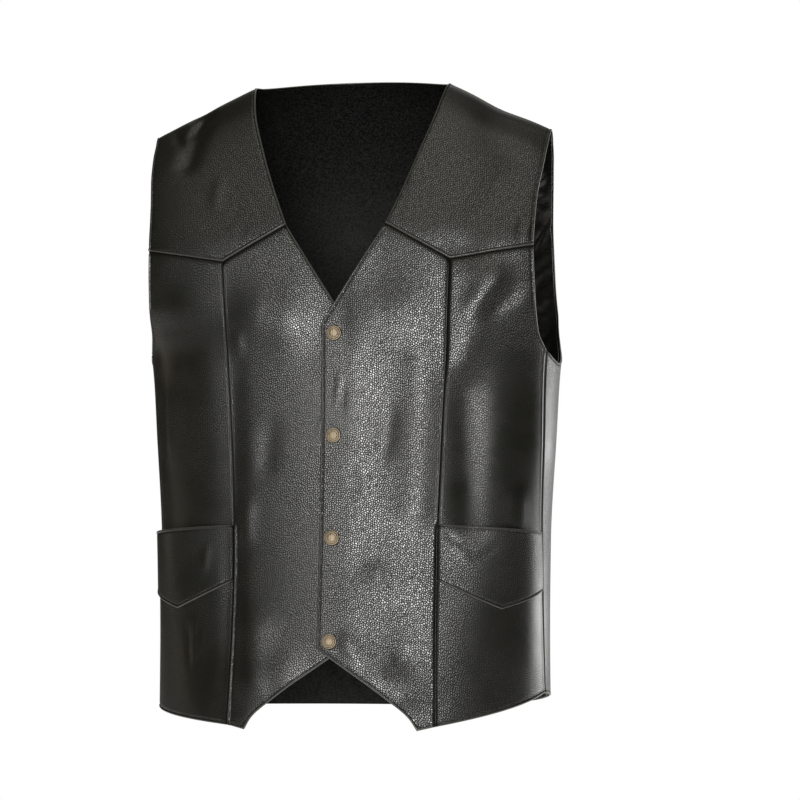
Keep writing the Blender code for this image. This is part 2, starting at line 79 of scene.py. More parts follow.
# Edges and seams seen from the front, as x outward from the centre front and z
Seen = namedtuple("Seen", "x z")
LAP = 0.013
LAP_RISE_FROM = 0.050
LAP_RISE_TO = 0.016
PLACKET_TOP = Seen(-LAP, -0.217)
PLACKET_FOOT = Seen(-LAP, -0.536)
YOKE_INNER = Seen(0.050, -0.118)
YOKE_TIP = Seen(0.1145, -0.154)
YOKE_OUTER = Seen(0.1945, -0.141)
NECK_X = 0.0985
SHOULDER_X = 0.203
NECK_EDGE = (YOKE_INNER, Seen(0.066, -0.079), Seen(0.080, -0.040), Seen(0.092, -0.003))
FRONT_ARMHOLE_TOP = (YOKE_OUTER, Seen(0.1965, -0.095), Seen(0.2005, -0.059))
FRONT_ARMHOLE_FOOT = (Seen(0.1955, -0.222), Seen(0.1955, -0.193), Seen(0.195, -0.165), YOKE_OUTER)
FRONT_SEAM = (
    Seen(0.1035, -0.640),
    Seen(0.102, -0.500),
    Seen(0.102, -0.430),
    Seen(0.104, -0.370),
    Seen(0.111, -0.225),
    YOKE_TIP,
)
FRONT_SEAM_BREAK = -0.270
HEM_SLANT = (PLACKET_FOOT, Seen(0.058, -0.5865), Seen(0.0775, -0.603), Seen(0.0855, -0.615))
HEM_SEAM_Z = -0.611
SIDE_HEM_Z = {"left": -0.581, "right": -0.597}
BACK_NECK_Z = 0.0385

# Edges told by the share of a quarter ring: 0 on the centre line, 1 at the side
Told = namedtuple("Told", "share z")
SIDE_SEAM = (Told(0.945, -0.640), Told(0.867, -0.430), Told(0.824, -0.330), Told(0.788, -0.242))
PIT_Z = SIDE_SEAM[-1].z
BACK_ARMHOLE_FOOT = (Told(1.08, -0.2515), Told(1.00, -0.2535), Told(0.90, -0.249), Told(0.78, -0.236))
BACK_CORNER = Seen(0.195, -0.212)
BACK_ARMHOLE_TOP = (BACK_CORNER, Seen(0.191, -0.170), Seen(0.190, -0.120), Seen(0.194, -0.070))
BACK_HEM_Z = -0.600
BACK_HEM_LEVEL_TO = 0.2
LOWER_BACK = 0.36
UPPER_BACK = 0.24

# Pockets and snaps
MOUTH_SEAM_Z = -0.415
MOUTH_SIDE_Z = -0.422
POCKET_STAND = 0.0082
POCKET_SIDE_INSET = 0.030
POCKET_CLOSING = 1.3
POCKET_SKEW = 1.5
PATCH_WIDTH = 0.100
POCKET_HEIGHT = 0.190
CUFF_HEIGHT = 0.066
CUFF_TIP_AT = 0.5
CUFF_SEAM_Z = -0.470
CUFF_TIP = Seen(0.158, -0.498)
CUFF_SIDE_Z = -0.480
SNAP_TOP_Z = -0.227
SNAP_PITCH = 0.1007
SNAP_COUNT = 4
SEAM_GAP = 0.0003


# Folds and creases

MM = 0.001


def rows_of(kind, tables):
    """Records in metres, from rows in millimetres that are kept by side and face."""
    made = []
    for (side, face), rows in tables.items():
        made += [kind(side, face, *(MM * number for number in row)) for row in rows]
    return tuple(made)


# Folds that the solids have too, by side and face
Fold = namedtuple("Fold", "side face x_start z_start x_end z_end width lift")
FOLDS = rows_of(Fold, {
    ("left", "front"): (
        (86, -255, 81, -400, 18, 3),
        (128, -140, 172, -60, 20, -3.5),
        (150, 0, 152, -30, 26, -3.5),
        (150, -175, 122, -255, 18, 3),
        (131, -285, 133, -410, 18, -2.8),
        (70, -500, 80, -590, 20, -2.2),
    ),
    ("right", "front"): (
        (176, -190, 160, -270, 20, -1.2),
        (130, -270, 125, -395, 24, 2.5),
        (150, -5, 160, -50, 12, -3.5),
        (76, -520, 84, -600, 18, 2.8),
    ),
    ("left", "back"): (
        (140, -190, 60, -300, 22, 2.8),
        (60, -400, 55, -560, 24, 2.8),
    ),
    ("right", "back"): (
        (150, -200, 80, -330, 20, 3),
        (80, -430, 85, -570, 24, -2.5),
    ),
})

# Creases of the leather: soft ridges, or troughs where the lift is negative. The bow bends the
# line aside in its middle. The far width, where given, is the one away from the centre line.
CREASE_COLUMNS = "side face x_start z_start x_end z_end bow width lift far"
Crease = namedtuple("Crease", CREASE_COLUMNS, defaults=(None,))
CREASES = rows_of(Crease, {
    ("left", "front"): (
        (76, -62, 72, -98, 3, 6, 1.2),
        (56, -112, 74, -101, 1, 4, -1.1),
        (62, -107, 82, -94, 1, 4.5, 0.9),
        (179, -137, 187, -112, 1, 4, -1.1),
        (186, -139, 192, -117, 1, 3.5, 1),
        (54, -284, 45, -365, 3, 10, -1.7),
        (131, -240, 133, -450, -2, 15, -2, 60),
        (174, -372, 172, -432, 1, 12, 2.2),
        (174, -152, 120, -216, 4, 11, 1.8),
        (190, -172, 137, -216, 3, 10, -2),
        (8, -253, 102, -252, 2, 3.5, -0.5),
        (5, -258, 3, -300, 1, 2.4, 0.6),
        (11, -272, 8, -314, -1, 2.6, -0.6),
        (16, -345, 22, -400, 2, 6, -0.8),
        (106, -421, 125, -441, 1, 3.5, -0.6),
        (112, -428, 132, -455, 1, 4.5, 0.5),
        (160, -431, 132, -449, 2, 4, -0.6),
        (80, -531, 43, -566, 4, 10, -1.8),
        (8, -516, 32, -561, 3, 10, 1.5),
        (44, -445, 46, -492, 2, 9, 1.3),
        (28, -420, 30, -480, -2, 8, -1),
        (5, -218, 112, -204, 1, 33, 4),
        (20, -545, 104, -598, 2, 24, 4.2),
    ),
    ("right", "front"): (
        (10, -220, 118, -204, 1, 33, 4.4),
        (15, -550, 100, -590, 2, 24, 3.4),
        (177, -265, 176, -365, 2, 8, 1.6),
        (99, -221, 95, -252, 1, 6, 1.3),
        (105, -180, 102, -635, 1, 13, -3.4, 50),
        (104, -386, 103, -625, 0, 11, -2),
        (86, -380, 88, -445, 2, 9, 1.5),
        (60, -300, 68, -380, 3, 11, -1.2),
        (139, -498, 141, -560, 2, 3, 0.9),
        (151, -505, 148, -562, -2, 3.2, -0.9),
        (132, -512, 133, -548, 1, 2.6, 0.7),
        (127, -430, 131, -468, 1, 4, 0.8),
        (151, 1, 160, -27, 2, 5, -1.8),
        (160, -4, 168, -26, 2, 6, 0.8),
        (184, -10, 163, -38, 3, 6, -1.4),
        (95, -96, 110, -114, 1, 2.5, -0.6),
        (86, -118, 102, -130, 1, 2.5, -0.6),
        (120, -60, 125, -110, 2, 7, 0.9),
    ),
    ("left", "back"): (
        (165, -230, 90, -278, 6, 10, 1.6),
        (172, -262, 110, -335, 5, 11, -1.8),
        (30, -330, 28, -455, 3, 13, -1.6),
        (110, -445, 118, -575, 3, 12, -1.8),
        (60, -30, 150, -62, 4, 10, -1.3),
    ),
    ("right", "back"): (
        (168, -236, 100, -266, -4, 9, 1.5),
        (175, -275, 120, -365, 4, 12, -2),
        (35, -385, 30, -525, -3, 13, 1.5),
        (125, -455, 130, -565, 3, 10, 1.5),
        (70, -24, 160, -52, 4, 9, 1.3),
        (10, -110, 80, -150, 4, 12, -1),
    ),
})
CREASE_POINTS = 9
CREASE_TAPER = 0.4
CREASE_REACH = 3

# Places where the grain is stretched smooth
Smooth = namedtuple("Smooth", "side face x z reach amount")
SMOOTH_PLACES = (
    Smooth("left", "front", 0.140, 0.005, 0.050, 0.75),
    Smooth("right", "front", 0.140, 0.005, 0.045, 0.65),
    Smooth("left", "front", 0.186, -0.330, 0.050, 0.75),
    Smooth("left", "front", 0.186, -0.520, 0.060, 0.70),
    Smooth("left", "front", 0.120, -0.390, 0.030, 0.60),
    Smooth("right", "front", 0.178, -0.240, 0.050, 0.75),
    Smooth("right", "front", 0.182, -0.420, 0.070, 0.70),
    Smooth("right", "front", 0.140, -0.560, 0.055, 0.60),
)

# How edges are finished, in metres. The rise lifts or tucks the last few millimetres.
Finish = namedtuple("Finish", "rim welt rise stitch groove")
FINISHES = {
    "turned": Finish(0.0014, 0.00035, 0.0002, 0.0027, 0.00055),
    "lapping": Finish(0.0016, 0.00035, 0.0013, 0.0029, 0.00060),
    "plain_lap": Finish(0.0010, 0.0, 0.0006, None, 0.0),
    "lapped": Finish(0.0004, 0.0, -0.0008, None, 0.0),
    "seam": Finish(0.0013, 0.00030, 0.0, None, 0.0),
    "lining": Finish(0.0003, 0.0, 0.0, None, 0.0),
}
RISE_REACH = 0.0022
WELT_NARROWING = 2.6
GROOVE_WIDTH = 0.00075
PUCKER = 0.25
POCKET_RISE = 0.0016
POCKET_RISE_OVER = 0.008
THINNEST = 0.0002
GRAIN_FADE = 0.003

# Pale wear on lifted edges, and painted shadow lines beside sunk and plain lapped ones, where the shine
# is cut
WEAR_WIDTH = 0.0007
SUNK_SHADE_WIDTH = 0.0036
LAP_PAINTED_SHADE = 0.90
LAP_SHADE_WIDTH = 0.0034

# Stitches: sizes in metres, slant in radians, and how far to look along an edge, as a share of it
STITCH_PITCH = 0.0033
STITCH_SLANT = 0.10
STITCH_SLANT_SWING = 0.06
STITCH_SLANT_TURN = 2.4
STITCH_PROBE = 0.004
STITCH_LOOK = 0.002
Stitch = namedtuple("Stitch", "length width height")
STITCH = Stitch(0.0025, 0.00062, 0.00042)

# Mesh steps
STEP = 1e-4
HALVINGS = 44
FRONT_STEP = 0.0022
BACK_STEP = 0.0032
RIM_STEP = 0.004
CLOTH_STEPS = 20
EDGE_POINTS = 240
ARMHOLE_POINTS = 42
FINE_STEPS = np.array(
    (0.0003, 0.0006, 0.0010, 0.0014, 0.0018, 0.0022, 0.0026, 0.0030, 0.0036, 0.0046, 0.006)
)


# Lines and tables

def smooth_table(x, xs, ys):
    """Monotone cubic through the points of a table."""
    xs = np.asarray(xs, float)
    ys = np.asarray(ys, float)
    steps = np.diff(xs)
    slopes = np.diff(ys) / steps
    tangents = np.concatenate((slopes[:1], np.zeros(len(slopes) - 1), slopes[-1:]))
    for i in range(1, len(slopes)):
        before, after = slopes[i - 1], slopes[i]
        if before * after > 0:
            first = 2 * steps[i] + steps[i - 1]
            second = steps[i] + 2 * steps[i - 1]
            tangents[i] = (first + second) / (first / before + second / after)
    i = np.clip(np.searchsorted(xs, x) - 1, 0, len(steps) - 1)
    u = (x - xs[i]) / steps[i]
    rise = ys[i] + (3 - 2 * u) * u * u * (ys[i + 1] - ys[i])
    return rise + steps[i] * u * (1 - u) * ((1 - u) * tangents[i] - u * tangents[i + 1])


def reach_of(points):
    """How far along a line each of its points lies."""
    return np.concatenate(([0], np.cumsum(np.linalg.norm(np.diff(points, axis=0), axis=1))))


def along(points, shares, smooth=False):
    """Points of a line at shares of its length."""
    points = np.asarray(points, float)
    reach = reach_of(points)
    pick = smooth_table if smooth else np.interp
    return np.stack([pick(np.asarray(shares) * reach[-1], reach, column) for column in points.T], axis=1)


def ease(x):
    x = np.clip(x, 0, 1)
    return x * x * (3 - 2 * x)


def nearest(points, line):
    """Distance of each point from a line, and how far along the line its nearest place is."""
    reach = reach_of(line)
    best = np.full(len(points), np.inf)
    where = np.zeros(len(points))
    for i, step in enumerate(np.diff(line, axis=0)):
        apart = points - line[i]
        share = np.clip(apart @ step / (step @ step), 0, 1)
        gap = np.linalg.norm(apart - share[:, None] * step, axis=1)
        closer = gap < best
        best[closer] = gap[closer]
        where[closer] = reach[i] + share[closer] * (reach[i + 1] - reach[i])
    return best, where


def spread(marks, step, fine):
    """Places from 0 to 1 over a length with marks on it: even steps, closer beside fine marks."""
    places = list(marks)
    for start, end in zip(marks[:-1], marks[1:]):
        low = start + (FINE_STEPS[-1] if start in fine else 0)
        high = end - (FINE_STEPS[-1] if end in fine else 0)
        places += list(np.linspace(low, high, max(1, round((high - low) / step)) + 1))
        if start in fine:
            places += list(start + FINE_STEPS)
        if end in fine:
            places += list(end - FINE_STEPS)
    places = np.unique(np.round(places, 6))
    return places / marks[-1]


# The body form

HEIGHTS, SWAYS, WIDTHS, FRONTS, BACKS, SLOPES, FRONT_FULL, BACK_FULL = np.array(RINGS).T
RING_DROPS = np.sqrt(RIDGE - HEIGHTS)


def drop_of(z):
    """Rings are counted by the root of their distance under the ridge, so the ridge is round."""
    return np.sqrt(np.maximum(RIDGE - np.asarray(z, float), 0))


def ring(column, drop):
    return smooth_table(drop, RING_DROPS, column)


def quarter(share, fullness):
    """Outward run of a quarter ring, 0 to 1, as the curve of a four-point handle line."""
    rest = 1 - share
    return 3 * rest**2 * share * fullness + 3 * rest * share**2 + share**3


def fall(x, drop):
    return ring(SLOPES, drop) * (np.hypot(x, NECK_ROUND) - NECK_ROUND)


def body(face, share, drop):
    """Points of the bare form. The share is positive to the wearer's left."""
    reach = np.abs(share)
    own = np.minimum(reach, 2 - reach)
    in_front = (reach <= 1) == (face == "front")
    fullness = np.where(in_front, ring(FRONT_FULL, drop), ring(BACK_FULL, drop))
    x = np.sign(share) * ring(WIDTHS, drop) * quarter(own, fullness)
    y = np.where(in_front, -ring(FRONTS, drop), ring(BACKS, drop)) * quarter(1 - own, fullness)
    z = RIDGE - drop**2 - fall(x, drop)
    return np.stack((x + ring(SWAYS, drop), y, z), axis=-1)


def outward(face, share, drop):
    across = body(face, share + STEP, drop) - body(face, share - STEP, drop)
    down = body(face, share, drop + STEP) - body(face, share, np.maximum(drop - STEP, 0))
    normal = np.cross(down, across) if face == "front" else np.cross(across, down)
    return normal / np.linalg.norm(normal, axis=-1, keepdims=True)


def cloth_place(face, share, drop):
    """Places on the cloth as laid flat: length around the ring and length down from the ridge."""
    around, down = np.zeros(len(share)), np.zeros(len(share))
    for i in range(CLOTH_STEPS):
        start, end = i / CLOTH_STEPS, (i + 1) / CLOTH_STEPS
        around += np.linalg.norm(body(face, share * end, drop) - body(face, share * start, drop), axis=1)
        down += np.linalg.norm(body(face, share, drop * end) - body(face, share, drop * start), axis=1)
    return np.stack((np.sign(share) * around, -down, np.zeros(len(share))), axis=1)


def place(face, seen):
    """Share and drop of points given by x and z."""
    x, z = np.asarray(seen, float).reshape(-1, 2).T
    low, high = np.zeros(len(x)), np.full(len(x), RING_DROPS[-1])
    for _ in range(HALVINGS):
        drop = (low + high) / 2
        too_low = RIDGE - drop**2 - fall(x, drop) < z
        low, high = np.where(too_low, low, drop), np.where(too_low, drop, high)
    fullness = ring(FRONT_FULL if face == "front" else BACK_FULL, drop)
    run = np.abs(x) / ring(WIDTHS, drop)
    low, high = np.zeros(len(x)), np.ones(len(x))
    for _ in range(HALVINGS):
        share = (low + high) / 2
        too_far = quarter(share, fullness) > run
        low, high = np.where(too_far, low, share), np.where(too_far, share, high)
    return np.stack((np.sign(x) * share, drop), axis=1)


def told(rows):
    rows = np.asarray(rows, float)
    return np.stack((rows[:, 0], drop_of(rows[:, 1])), axis=1)


def ridge_place(face, x):
    """The point of the shoulder ridge at this x."""
    share = place(face, (x, RIDGE - fall(x, 0.0) - 1e-9))[0, 0]
    return np.array((share, 0.0))


def sign_of(side):
    return 1 if side == "left" else -1


def on_form(side, face, seen):
    spots = place(face, seen)
    return body(face, sign_of(side) * spots[:, 0], spots[:, 1])


# Folds, creases and grain

def fold_lift(points):
    total = np.zeros(len(points))
    for fold in FOLDS:
        ends = ((fold.x_start, fold.z_start), (fold.x_end, fold.z_end))
        gap, _ = nearest(points, on_form(fold.side, fold.face, ends))
        total += fold.lift * np.exp(-((gap / fold.width) ** 2))
    return total


def crease_line(crease):
    start = np.array((crease.x_start, crease.z_start))
    chord = np.array((crease.x_end, crease.z_end)) - start
    aside = np.array((-chord[1], chord[0])) / np.linalg.norm(chord)
    share = np.linspace(0, 1, CREASE_POINTS)[:, None]
    seen = start + share * chord + 4 * crease.bow * share * (1 - share) * aside
    return on_form(crease.side, crease.face, seen)


def crease_lift(points, creases):
    total = np.zeros(len(points))
    for crease in creases:
        line = crease_line(crease)
        margin = CREASE_REACH * max(crease.width, crease.far or 0)
        close = np.all((points > line.min(0) - margin) & (points < line.max(0) + margin), axis=1)
        if close.any():
            gap, where = nearest(points[close], line)
            reach = reach_of(line)
            outside = np.abs(points[close, 0]) > np.interp(where, reach, np.abs(line[:, 0]))
            width = np.where(outside, crease.far or crease.width, crease.width)
            taper = ease(np.minimum(where, reach[-1] - where) / (CREASE_TAPER * reach[-1]))
            total[close] += crease.lift * taper * np.exp(-((gap / width) ** 2))
    return total


def grain_of(points):
    """How strong the grain is: 1 over most of the leather, less where it is stretched smooth."""
    grain = np.ones(len(points))
    for spot in SMOOTH_PLACES:
        centre = on_form(spot.side, spot.face, (spot.x, spot.z))[0]
        apart = np.linalg.norm(points - centre, axis=1)
        grain *= 1 - spot.amount * np.exp(-((apart / spot.reach) ** 2))
    return grain


# Seams shared by the panels, as lines of share and drop over 0 to 1

def seen_line(points, smooth=False):
    return lambda shares: place("front", along(points, shares, smooth))


def told_line(start, end):
    return lambda shares: along((start, end), shares)


def legs(*parts):
    """An edge of several lines, each given with its end on the edge's 0 to 1."""
    def line(shares):
        found = np.zeros((len(shares), 2))
        start = 0.0
        for end, part in parts:
            here = (shares >= start - 1e-9) & (shares <= end + 1e-9)
            found[here] = part(np.clip((shares[here] - start) / (end - start), 0, 1))
            start = end
        return found
    return line


def by_height(table, z):
    across, heights = np.array(table).T
    return smooth_table(z, heights, across)


def front_seam_x(z):
    return by_height(FRONT_SEAM, z)


def side_share(z):
    return by_height(SIDE_SEAM, z)


def front_seam(z):
    return place("front", np.stack((front_seam_x(z), z), axis=1))


def side_seam(z):
    return told(np.stack((side_share(z), z), axis=1))


def front_seam_line(low, high):
    return lambda shares: front_seam(low + (high - low) * shares)


def side_seam_line(low, high, inset=0.0):
    return lambda shares: side_seam(low + (high - low) * shares) - (inset, 0)


def even_drops(face, seen, ridge_x):
    """An edge that runs up through the seen points and ends on the ridge, in even steps of drop."""
    end = Seen(ridge_x, RIDGE - fall(ridge_x, 0.0))
    line = place(face, along((*seen, end), np.linspace(0, 1, EDGE_POINTS), smooth=True))
    line[-1] = ridge_place(face, ridge_x)

    def edge(shares):
        drops = line[0, 1] + (line[-1, 1] - line[0, 1]) * shares
        return np.stack((np.interp(drops, line[::-1, 1], line[::-1, 0]), drops), axis=1)
    return edge


YOKE_INNER_LEG = seen_line((YOKE_INNER, YOKE_TIP))
YOKE_OUTER_LEG = seen_line((YOKE_TIP, YOKE_OUTER))
SEAM_FOOT = Seen(float(front_seam_x(HEM_SEAM_Z)), HEM_SEAM_Z)
CHEST_AT = 0.65
FRONT_SEAM_LINE = legs(
    (CHEST_AT, front_seam_line(HEM_SEAM_Z, FRONT_SEAM_BREAK)),
    (1.0, front_seam_line(FRONT_SEAM_BREAK, YOKE_TIP.z)),
)


def armhole_foot_line():
    pit = side_seam(np.array([PIT_Z]))
    at = body("front", *pit.T)[0]
    pit_seen = Seen(at[0] - ring(SWAYS, pit[0, 1]), at[2])
    line = seen_line((pit_seen, *FRONT_ARMHOLE_FOOT), smooth=True)

    def edge(shares):
        found = line(shares)
        found[shares <= 0] = pit[0]
        return found
    return edge


def hem_outer_line(side):
    """Hem from the long front seam to the side seam."""
    return told_line(front_seam(np.array([HEM_SEAM_Z]))[0], side_seam(np.array([SIDE_HEM_Z[side]]))[0])


# Panels as dense grids

Panel = namedtuple("Panel", "name face share drop quads rims")
Rim = namedtuple("Rim", "finish spots")
RimOrder = namedtuple("RimOrder", "finish edge start end", defaults=(0.0, 1.0))


def coons(columns, rows, bottom, top, left, right):
    """Grid of share and drop filled in between four edges, rows from the bottom up."""
    u = columns[None, :, None]
    v = rows[:, None, None]
    low, high = bottom(columns)[None], top(columns)[None]
    near, far = left(rows)[:, None], right(rows)[:, None]
    low_corners = (1 - u) * low[:, :1] + u * low[:, -1:]
    high_corners = (1 - u) * high[:, :1] + u * high[:, -1:]
    corners = (1 - v) * low_corners + v * high_corners
    return (1 - u) * near + u * far + (1 - v) * low + v * high - corners


def grid_quads(spots):
    corners = (spots[:-1, :-1], spots[:-1, 1:], spots[1:, 1:], spots[1:, :-1])
    return np.stack(corners, axis=-1).reshape(-1, 4)


def edge_spots(spots, columns, rows, order):
    lines = {"bottom": spots[0], "top": spots[-1], "left": spots[:, 0], "right": spots[:, -1]}
    places = columns if order.edge in ("bottom", "top") else rows
    inside = (places >= order.start - 1e-6) & (places <= order.end + 1e-6)
    return lines[order.edge][inside]


def steps_over(length, corner_at=None):
    """Even steps over a length, closer at both ends, with one on the corner."""
    corners = () if corner_at is None else (corner_at * length,)
    return spread((0, *corners, length), FRONT_STEP, (0, length))


def front_panel(name, side, columns, rows, edges, orders):
    grid = coons(columns, rows, *edges)
    spots = np.arange(grid[..., 0].size).reshape(grid.shape[:2])
    quads = grid_quads(spots)
    if side == "right":
        quads = quads[:, ::-1]
    rims = [Rim(order.finish, edge_spots(spots, columns, rows, order)) for order in orders]
    share = sign_of(side) * grid[..., 0].ravel()
    return Panel(f"{name}_{side}", "front", share, grid[..., 1].ravel(), quads, rims)


def centre_front_panel(side):
    width, height, tip_at = 0.112, 0.45, 0.875
    slant = seen_line(HEM_SLANT, smooth=True)
    placket = seen_line((PLACKET_FOOT, PLACKET_TOP))
    columns = steps_over(width, tip_at)
    rows = steps_over(height, CHEST_AT)
    edges = (
        legs((tip_at, slant), (1.0, seen_line((HEM_SLANT[-1], SEAM_FOOT)))),
        YOKE_INNER_LEG,
        legs((CHEST_AT, placket), (1.0, seen_line((PLACKET_TOP, YOKE_INNER)))),
        FRONT_SEAM_LINE,
    )
    orders = (
        RimOrder("turned", "bottom", 0, tip_at),
        RimOrder("turned", "bottom", tip_at, 1),
        RimOrder("turned", "left", 0, CHEST_AT),
        RimOrder("turned", "left", CHEST_AT, 1),
        RimOrder("lapped", "top"),
        RimOrder("plain_lap", "right"),
    )
    return front_panel("front_centre", side, columns, rows, edges, orders)


def side_front_panel(side):
    width, height = 0.100, 0.45
    columns = steps_over(width)
    rows = steps_over(height, CHEST_AT)
    seam = side_seam_line(SIDE_HEM_Z[side], PIT_Z)
    edges = (
        hem_outer_line(side),
        YOKE_OUTER_LEG,
        FRONT_SEAM_LINE,
        legs((CHEST_AT, seam), (1.0, armhole_foot_line())),
    )
    orders = (
        RimOrder("turned", "bottom"),
        RimOrder("seam", "right", 0, CHEST_AT),
        RimOrder("turned", "right", CHEST_AT, 1),
        RimOrder("lapped", "top"),
        RimOrder("lapped", "left"),
    )
    return front_panel("front_side", side, columns, rows, edges, orders)


def yoke_panel(side):
    width, height, tip_at = 0.150, 0.17, 0.5
    columns = steps_over(width, tip_at)
    rows = steps_over(height)
    left = even_drops("front", NECK_EDGE, NECK_X)
    right = even_drops("front", FRONT_ARMHOLE_TOP, SHOULDER_X)
    edges = (
        legs((tip_at, YOKE_INNER_LEG), (1.0, YOKE_OUTER_LEG)),
        told_line(ridge_place("front", NECK_X), ridge_place("front", SHOULDER_X)),
        left,
        right,
    )
    orders = (
        RimOrder("lapping", "bottom", 0, tip_at),
        RimOrder("lapping", "bottom", tip_at, 1),
        RimOrder("turned", "left"),
        RimOrder("turned", "right"),
        RimOrder("seam", "top"),
    )
    return front_panel("yoke", side, columns, rows, edges, orders)


def patch_panel(name, side, height, seam_z, side_z, tip_at=None):
    """A pocket, or a cuff with a tip in its lower edge, from the long front seam outward."""
    seam = front_seam_line(seam_z, MOUTH_SEAM_Z)
    side_line = side_seam_line(side_z, MOUTH_SIDE_Z, POCKET_SIDE_INSET)
    ends = np.array((0.0, 1.0))
    low_in, high_in = seam(ends)
    low_out, high_out = side_line(ends)
    if tip_at is None:
        bottom = told_line(low_in, low_out)
        orders = [RimOrder("turned", "bottom")]
    else:
        start = Seen(float(front_seam_x(seam_z)), seam_z)
        tip = place("front", CUFF_TIP)[0]
        bottom = legs((tip_at, seen_line((start, CUFF_TIP))), (1.0, told_line(tip, low_out)))
        orders = [RimOrder("turned", "bottom", 0, tip_at), RimOrder("turned", "bottom", tip_at, 1)]
    orders += [RimOrder("turned", "top"), RimOrder("lapped", "left"), RimOrder("seam", "right")]
    edges = (bottom, told_line(high_in, high_out), seam, side_line)
    return front_panel(name, side, steps_over(PATCH_WIDTH, tip_at), steps_over(height), edges, orders)


def fixed(points):
    """An edge whose points are already worked out."""
    return lambda _: points


def back_panel():
    """The back in two joined grids: from hem to armhole foot, and from there to the shoulders."""
    flip = np.array((-1.0, 1.0))
    corner = place("back", BACK_CORNER)[0]
    seam_top = side_seam(np.array([PIT_Z]))[0] * flip + (2, 0)
    armhole_at = np.linspace(0, 1, ARMHOLE_POINTS)
    armhole = along((seam_top, *told(BACK_ARMHOLE_FOOT), corner), armhole_at, smooth=True)
    width, shoulder_at = 0.39, 5 / 18
    middle_at = spread((0, shoulder_at * width, (1 - shoulder_at) * width, width), BACK_STEP, (0, width))
    middle = along((corner * flip, corner), middle_at)
    waist = np.concatenate((armhole * flip, middle[1:-1], armhole[::-1]))
    columns = np.linspace(0, 1, len(waist))
    rows = spread((0, LOWER_BACK), BACK_STEP, (0, LOWER_BACK))
    hem_share = waist[:, 0] * (2 - side_share(SIDE_HEM_Z["left"])) / seam_top[0]
    hem_at = (hem_share[0], hem_share[0] / 2, BACK_HEM_LEVEL_TO, hem_share[-1])
    hem_z = (SIDE_HEM_Z["right"], BACK_HEM_Z, BACK_HEM_Z, SIDE_HEM_Z["left"])
    hem = told(np.stack((hem_share, smooth_table(hem_share, hem_at, hem_z)), axis=1))
    seams = {}
    for side in ("left", "right"):
        seam = side_seam_line(SIDE_HEM_Z[side], PIT_Z)(rows) * flip + (2, 0)
        seams[side] = seam if side == "left" else seam * flip
    lower = coons(columns, rows, *map(fixed, (hem, waist, seams["right"], seams["left"])))

    upper_rows = spread((0, UPPER_BACK), BACK_STEP, (UPPER_BACK,))
    edge = even_drops("back", BACK_ARMHOLE_TOP, SHOULDER_X)(upper_rows)
    edge[0] = corner
    neck_x = NECK_X * (2 * (middle_at - shoulder_at) / (1 - 2 * shoulder_at) - 1)
    neck_z = BACK_NECK_Z - (BACK_NECK_Z - RIDGE + fall(NECK_X, 0.0)) * (neck_x / NECK_X) ** 2
    outer, inner = ridge_place("back", SHOULDER_X), ridge_place("back", NECK_X)
    top = place("back", np.stack((np.clip(neck_x, -NECK_X, NECK_X), neck_z), axis=1))
    for i, at in enumerate(middle_at):
        from_end = min(at, 1 - at) / shoulder_at
        if from_end <= 1:
            top[i] = (outer * (1 - from_end) + inner * from_end) * (flip if at < 0.5 else 1)
    upper = coons(middle_at, upper_rows, *map(fixed, (middle, top, edge * flip, edge)))

    lower_spots = np.arange(lower[..., 0].size).reshape(lower.shape[:2])
    upper_spots = np.arange(upper[1:, :, 0].size).reshape(upper.shape[0] - 1, -1) + lower_spots.size
    first = len(armhole) - 1
    shared = lower_spots[-1, first:first + len(middle)]
    upper_spots = np.concatenate((shared[None], upper_spots))
    quads = np.concatenate((grid_quads(lower_spots), grid_quads(upper_spots)))[:, ::-1]
    grid = np.concatenate((lower.reshape(-1, 2), upper[1:].reshape(-1, 2)))
    shoulder_count = int(np.sum(middle_at <= shoulder_at + 1e-6))
    rims = [
        Rim("turned", lower_spots[0]),
        Rim("seam", lower_spots[:, 0]),
        Rim("seam", lower_spots[:, -1]),
        Rim("turned", np.concatenate((lower_spots[-1, :first], upper_spots[:, 0]))),
        Rim("turned", np.concatenate((lower_spots[-1, :first + len(middle) - 1:-1], upper_spots[:, -1]))),
        Rim("seam", upper_spots[-1, :shoulder_count]),
        Rim("seam", upper_spots[-1, -shoulder_count:]),
        Rim("turned", upper_spots[-1, shoulder_count - 1:len(middle) - shoulder_count + 1]),
    ]
    return Panel("back", "back", grid[:, 0], grid[:, 1], quads, rims)


# Layers over the form

def lap_lift(panel):
    """The wearer's left front rises over the right one near the centre."""
    x = body("front", panel.share, panel.drop)[:, 0] - ring(SWAYS, panel.drop)
    return (LEATHER + LAYER_GAP) * ease((LAP_RISE_FROM - x) / (LAP_RISE_FROM - LAP_RISE_TO))


def pocket_lift(panel):
    """The pocket stands off its panel at the mouth and lies on it at the seams and the hem."""
    z = RIDGE - panel.drop**2
    seam = front_seam(z)[:, 0]
    across = np.clip((np.abs(panel.share) - seam) / (side_share(z) - POCKET_SIDE_INSET - seam), 0, 1)
    mouth = MOUTH_SEAM_Z + across * (MOUTH_SIDE_Z - MOUTH_SEAM_Z)
    down = np.clip((mouth - z) / (mouth - HEM_SEAM_Z), 0, 1)
    bulge = np.sin(math.pi * across**POCKET_SKEW) * (1 - down) ** POCKET_CLOSING
    return LEATHER + LAYER_GAP + POCKET_STAND * bulge


# Shells

def bump(x, centre, width):
    return np.exp(-(((x - centre) / width) ** 2))


def rim_fall(gap, radius):
    """Fall of a round edge: nothing beyond the radius, all of it on the edge."""
    inside = np.clip(1 - gap / radius, 0, 1)
    return radius * (1 - np.sqrt(1 - inside**2))


